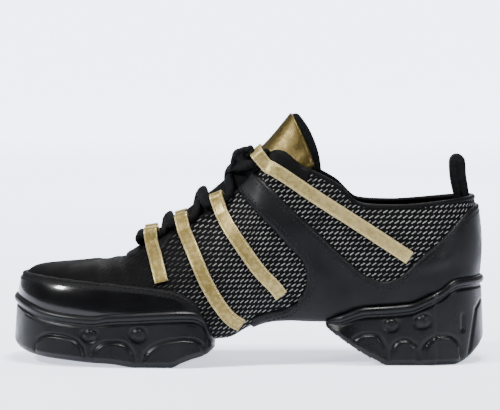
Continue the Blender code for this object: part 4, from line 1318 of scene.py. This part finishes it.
def tongue_section(t):
    """The tongue's arched section at a share of its length: crown, fall, half width, thickness."""
    place = t * (len(TONGUE) - 1)
    low = min(int(place), len(TONGUE) - 2)
    rows = [TONGUE[min(max(low + k, 0), len(TONGUE) - 1)] for k in (-1, 0, 1, 2)]
    share = place - low
    mixed = []
    for a, b, c, d in zip(*rows):
        mixed.append((2 * b + (c - a) * share + (2 * a - 5 * b + 4 * c - d) * share ** 2
                      + (3 * b - a - 3 * c + d) * share ** 3) / 2)
    x, z, side_x, side_z, half, thick = mixed
    return Vector((x, middle_y(x), z)), Vector((side_x - x, 0.0, side_z - z)), half, thick


def tongue_point(t, s, back=0.0):
    """A point across the tongue, s from -1 to 1, set back into it by a distance."""
    crown, fall, half, thick = tongue_section(t)
    across = Vector((0.0, 1.0, 0.0))
    inward = (fall.normalized() * half - across * (2 * fall.length * s)).normalized()
    bulge = Vector((-fall.z, 0.0, fall.x)).normalized() * (EDGE_BULGE * 4 * s * s * (1 - s * s) * t ** 3)
    return crown + across * (half * s) + fall * (s * s) + bulge + inward * back, inward


def pad_point(column, row):
    """Round the pad: over its front for half the columns, and over its back for the rest."""
    t = row / TONGUE_ROWS
    turn = 2 * pi * column / TONGUE_ROUND
    s = -cos(turn)
    thick = tongue_section(t)[3]
    rounding = max(1 - abs(s) ** PAD_POWER, 0.0) ** 0.5
    middle = thick / 2
    back = middle - rounding * middle if turn <= pi else middle + rounding * middle
    if turn <= pi and t < PAD_SWELL_END:
        back -= PAD_SWELL * (1 - s * s) * sin(pi * t / PAD_SWELL_END)
    return tongue_point(t, s, back)[0], (t * TONGUE_LONG, s * TONGUE_LAY_HALF)


tongue_work = bmesh.new()
lay_grid(tongue_work, TONGUE_ROUND, TONGUE_ROWS, pad_point)
weld(tongue_work)
bmesh.ops.holes_fill(tongue_work, edges=[edge for edge in tongue_work.edges if edge.is_boundary])
bmesh.ops.recalc_face_normals(tongue_work, faces=tongue_work.faces)
tongue_pad = finish_piece("tongue_pad", tongue_work, LINING, ["tongue"])


def gold_point(column, row):
    """The gold panel on the pad's front, with a bead along its edges."""
    t = GOLD_START + (GOLD_END - GOLD_START) * row / GOLD_GRID
    s = (2 * column / GOLD_GRID - 1) * GOLD_SHARE
    half = tongue_section(t)[2]
    side_gap = (GOLD_SHARE - abs(s)) * half
    edge_gap = min(side_gap, (GOLD_END - t) * GOLD_LONG)
    bead = GOLD_ROLL * exp(-((side_gap - ROLL_INSET) / GOLD_ROLL_WIDTH * 1.6) ** 2)
    sunk = GOLD_SUNK * max(1 - edge_gap / SUNK_WIDTH, 0.0)
    return tongue_point(t, s, -(GOLD_LIFT + bead - sunk))[0], (t * TONGUE_LONG, s * half)


gold_work = bmesh.new()
lay_grid(gold_work, GOLD_GRID, GOLD_GRID, gold_point)
face_out(gold_work, -tongue_point(GOLD_START, 0.0)[1])
tongue_gold = finish_piece("tongue_gold", gold_work, SHADED_TONGUE_GOLD)
give_wall(tongue_gold, GOLD_THICK, -1.0)

# %% [markdown]
# The lace is flat woven cord. It starts as a bar over the toe end of the throat, passes through the loop
# of each strap and crosses over the tongue between them. A tube follows the route, with its flat side
# kept to the tongue, so the frame at each point takes a fixed upward hint.

# %% Lace route
LACE_WIDTH = 7.6
LACE_THICK = 4.0
LOOP_SQUEEZE = 0.66
SQUEEZE_REACH = 7.0
LACE_ROUND = 12
LACE_PIECES = 7
END_SQUASH = 0.55
TUBE_WELD = 0.005
LACE_UP = Vector((-0.78, 0.0, 0.62))
LACE_RUN = 6.4
BAR_BOW = 1.5
OVER = 1.9
BAR_REACH = 0.55
# The first bar stands upright and lies low before the first loop
BAR_UP = Vector((-1.0, 0.0, 0.12))
BAR_DROP = 1.6
BAR_BACK = 2.0
BAR_ROWS = 16
BAR_WIDE = 1.3
BAR_THICK = 1.7
BAR_SHOULDER = 0.25
SHOULDER_BOW = 0.8


def tongue_top(x):
    """Height of the tongue's crown at x."""
    return smooth(TONGUE, ("x", "z"), "z", x)


def loop_ends(side, strap):
    """Where the lace enters a strap's loop, its middle, and where it leaves."""
    rise, outward, hub = loop_frame(side, strap)
    through = rise.cross(outward).normalized() * LACE_RUN
    if through.x < 0:
        through.negate()
    return hub - through, hub, hub + through


def lace_route(first_side):
    """One half of the lace: from the middle of the first bar through a loop of each strap."""
    other = {"outer": "inner", "inner": "outer"}
    side = first_side
    enter = loop_ends(side, STRAPS[0])[0]
    opposite = loop_ends(other[side], STRAPS[0])[0]
    bow = Vector((BAR_BACK - BAR_BOW, 0.0, -BAR_DROP))
    route = [enter.lerp(opposite, BAR_REACH) + bow,
             enter.lerp(opposite, BAR_SHOULDER) + bow * SHOULDER_BOW]
    for number, strap in enumerate(STRAPS):
        enter, middle, leave = loop_ends(side, strap)
        if number > 0:
            share, lift = strap["cross"]
            crossing = route[-1].lerp(enter, share)
            crossing.y = middle_y(crossing.x)
            over = OVER if (first_side == "outer") == (number % 2 == 0) else -OVER
            crossing.z = max(tongue_top(crossing.x) + lift, crossing.z) + over
            route.append(crossing)
        route += [enter, middle, leave]
        side = other[side]
    return route


def ribbon(work, points, width, thick, sides=LACE_ROUND, up=LACE_UP, tight=(), bar=0):
    """A tube with an oval section along the points, squeezed at tight places, with closed ends."""
    lengths = [0.0]
    for a, b in zip(points, points[1:]):
        lengths.append(lengths[-1] + (b - a).length)

    def place(column, row):
        before, after = points[max(row - 1, 0)], points[min(row + 1, len(points) - 1)]
        way = (after - before).normalized()
        front = max(1 - row / bar, 0.0) if bar else 0.0
        across = way.cross(up.lerp(BAR_UP, front)).normalized()
        flat = across.cross(way)
        turn = 2 * pi * column / sides
        squash = END_SQUASH if row in (0, len(points) - 1) else 1.0
        held = max((exp(-((points[row] - spot).length / SQUEEZE_REACH) ** 4) for spot in tight), default=0.0)
        wide = width * (1 - held * (1 - LOOP_SQUEEZE)) * (1 + (BAR_WIDE - 1) * front)
        deep = thick * (1 + (BAR_THICK - 1) * front)
        return (points[row] + across * (cos(turn) * wide / 2 * squash)
                + flat * (sin(turn) * deep / 2 * squash), (lengths[row], turn * width / pi))

    lay_grid(work, sides, len(points) - 1, place)


def close_tubes(work):
    """Join each tube along its seam and fill its ends."""
    weld(work, TUBE_WELD)
    bmesh.ops.holes_fill(work, edges=[edge for edge in work.edges if edge.is_boundary])
    bmesh.ops.recalc_face_normals(work, faces=work.faces)


lace_work = bmesh.new()
for side in SIDES:
    loops = [loop_ends(either, strap)[1] for either in SIDES for strap in STRAPS]
    ribbon(lace_work, flow(lace_route(side), LACE_PIECES), LACE_WIDTH, LACE_THICK, tight=loops, bar=BAR_ROWS)
close_tubes(lace_work)
finish_piece("lace_crossings", lace_work, LACE_WEAVE, ["lace_bars"])

# %% [markdown]
# The knot is tied tight at the top and its ends are tucked away. It is a band wrapped round two folded
# strands, so it looks square from the side.

# %% Lace knot
KNOT_WIDTH = 6.4
KNOT_THICK = 3.6
KNOT_PIECES = 6
KNOT_CENTRE = Vector((-3.6, -3.0, 113.6))
KNOT_UP = Vector((0.69, 0.0, 0.72))
KNOT_OUT = Vector((-0.72, 0.0, 0.69))
# Strands as (up the tongue, across, out of it)
KNOT_STRANDS = (
    ((-5.5, -9.0, -2.4), (-3.6, -5.0, 1.4), (0.4, -0.5, 2.6), (4.0, 4.6, 1.6), (5.4, 8.6, -2.2)),
    ((-5.5, 9.0, -2.4), (-3.4, 4.6, 1.2), (0.6, 0.0, 3.0), (4.2, -5.0, 1.6), (5.4, -8.8, -2.2)),
    ((-4.8, -7.6, -3.6), (-6.0, -6.8, 0.6), (-2.4, -6.2, 3.4), (2.6, -6.2, 3.4), (6.0, -6.8, 0.4),
     (5.0, -7.6, -3.4)),
    ((-4.8, 6.6, -3.6), (-5.8, 5.6, 0.6), (-2.4, 4.8, 3.2), (2.6, 4.8, 3.2), (6.0, 5.4, 0.4),
     (5.0, 6.6, -3.4)),
    ((0.2, -8.6, -3.6), (0.0, -8.2, 1.8), (0.0, -4.2, 4.2), (0.0, 2.6, 4.2), (0.2, 7.0, 1.6),
     (0.0, 7.6, -3.4)),
    ((-5.6, -8.2, 0.2), (-6.2, -2.0, 0.8), (-5.8, 5.6, 0.0)),
    ((5.8, -8.2, 0.4), (6.2, -2.0, 1.0), (5.8, 5.6, 0.2)),
)


def knot_point(up, across, out):
    """A point of the knot, which lies on the slope of the tongue."""
    return KNOT_CENTRE + KNOT_UP * up + Vector((0.0, across, 0.0)) + KNOT_OUT * out


knot_work = bmesh.new()
for strand in KNOT_STRANDS:
    line = flow([knot_point(*spot) for spot in strand], KNOT_PIECES)
    ribbon(knot_work, line, KNOT_WIDTH, KNOT_THICK, up=KNOT_OUT)
close_tubes(knot_work)
finish_piece("lace_knot_tied", knot_work, LACE_WEAVE,
             ["lace_knot", "lace_end_outer", "lace_end_inner"])

# %% [markdown]
# A narrow roll of soft leather binds the collar and the throat, and a loop of woven tape is sewn in at
# the back to pull the shoe on.

# %% Collar binding and pull tape
BINDING_WIDTH = 3.6
BINDING_THICK = 3.0
BINDING_DROP = 0.6
BINDING_SIDES = 10
BINDING_STEP = 1.6
# The binding starts where the throat is this far open
BOUND_GAP = 3.0
PULL_LOOP_FREE = ((121.2, 98.5), (120.2, 104.5), (119.8, 111.4), (119.1, 113.4), (117.7, 114.0),
                  (116.2, 113.4), (115.5, 111.4), (115.8, 104.5), (116.8, 98.5))
TAPE_WIDTH = 12.0
TAPE_THICK = 3.5
TAPE_COLUMNS = 12
TAPE_PIECES = 8
TAPE_STEP = 0.9
# The folded tape is pressed flat on itself
TAPE_SHUT = 0.95
SEWN_DEPTH = 12.0
SEWN_GAP = 1.3
SEWN_TOP = 1.0

binding_work = bmesh.new()
edge_line = []
for side, order in (("outer", 1), ("inner", -1)):
    tops = []
    for station in UPPER_SECTIONS[side]:
        if last("gap", station.foot_x) > BOUND_GAP:
            plan, height = station.wall(station.turn)
            tops.append(lifted(plan - station.out * (WALL / 2), height - BINDING_DROP))
    edge_line += tops[::order]
edge_line = even(flow(edge_line[::3], 2), BINDING_STEP)
ribbon(binding_work, edge_line, BINDING_WIDTH, BINDING_THICK, BINDING_SIDES, Vector((0.0, 0.0, 1.0)))
close_tubes(binding_work)
finish_piece("collar_binding", binding_work, BINDING_LEATHER)

heel_section = UPPER_SECTIONS["outer"][-1]
collar_top = heel_section.top


def sewn_in(z, layer):
    """A point of a tape end inside the heel, as (x, z)."""
    inside = heel_section.plan_at(z).x - WALL - SEWN_GAP
    return Vector((inside - TAPE_THICK * (0.5 + layer) - MEETING_GAP * layer, z))


tape_high = collar_top - SEWN_TOP
tape_low = collar_top - SEWN_DEPTH
tape_path = [sewn_in(tape_low, 0), sewn_in(tape_high, 0), *[Vector(pair) for pair in PULL_LOOP_FREE],
             sewn_in(tape_high, 1), sewn_in(tape_low, 1)]
tape_path = even(flow(tape_path, TAPE_PIECES), TAPE_STEP)


def tape_point(column, row):
    """A point of the folded tape, with its lay."""
    across = heel_section.spine.y + (column / TAPE_COLUMNS - 0.5) * TAPE_WIDTH
    return Vector((tape_path[row].x, across, tape_path[row].y)), (row * TAPE_STEP, column)


tape_work = bmesh.new()
lay_grid(tape_work, TAPE_COLUMNS, len(tape_path) - 1, tape_point)
pull_tape = finish_piece("pull_tape", tape_work, TAPE_WEAVE, ["pull_loop"])
give_wall(pull_tape, TAPE_THICK + TAPE_SHUT, 0.0)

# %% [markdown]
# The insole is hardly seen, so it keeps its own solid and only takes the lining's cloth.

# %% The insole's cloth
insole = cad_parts["insole"]
insole.data.materials.clear()
insole.data.materials.append(LINING)
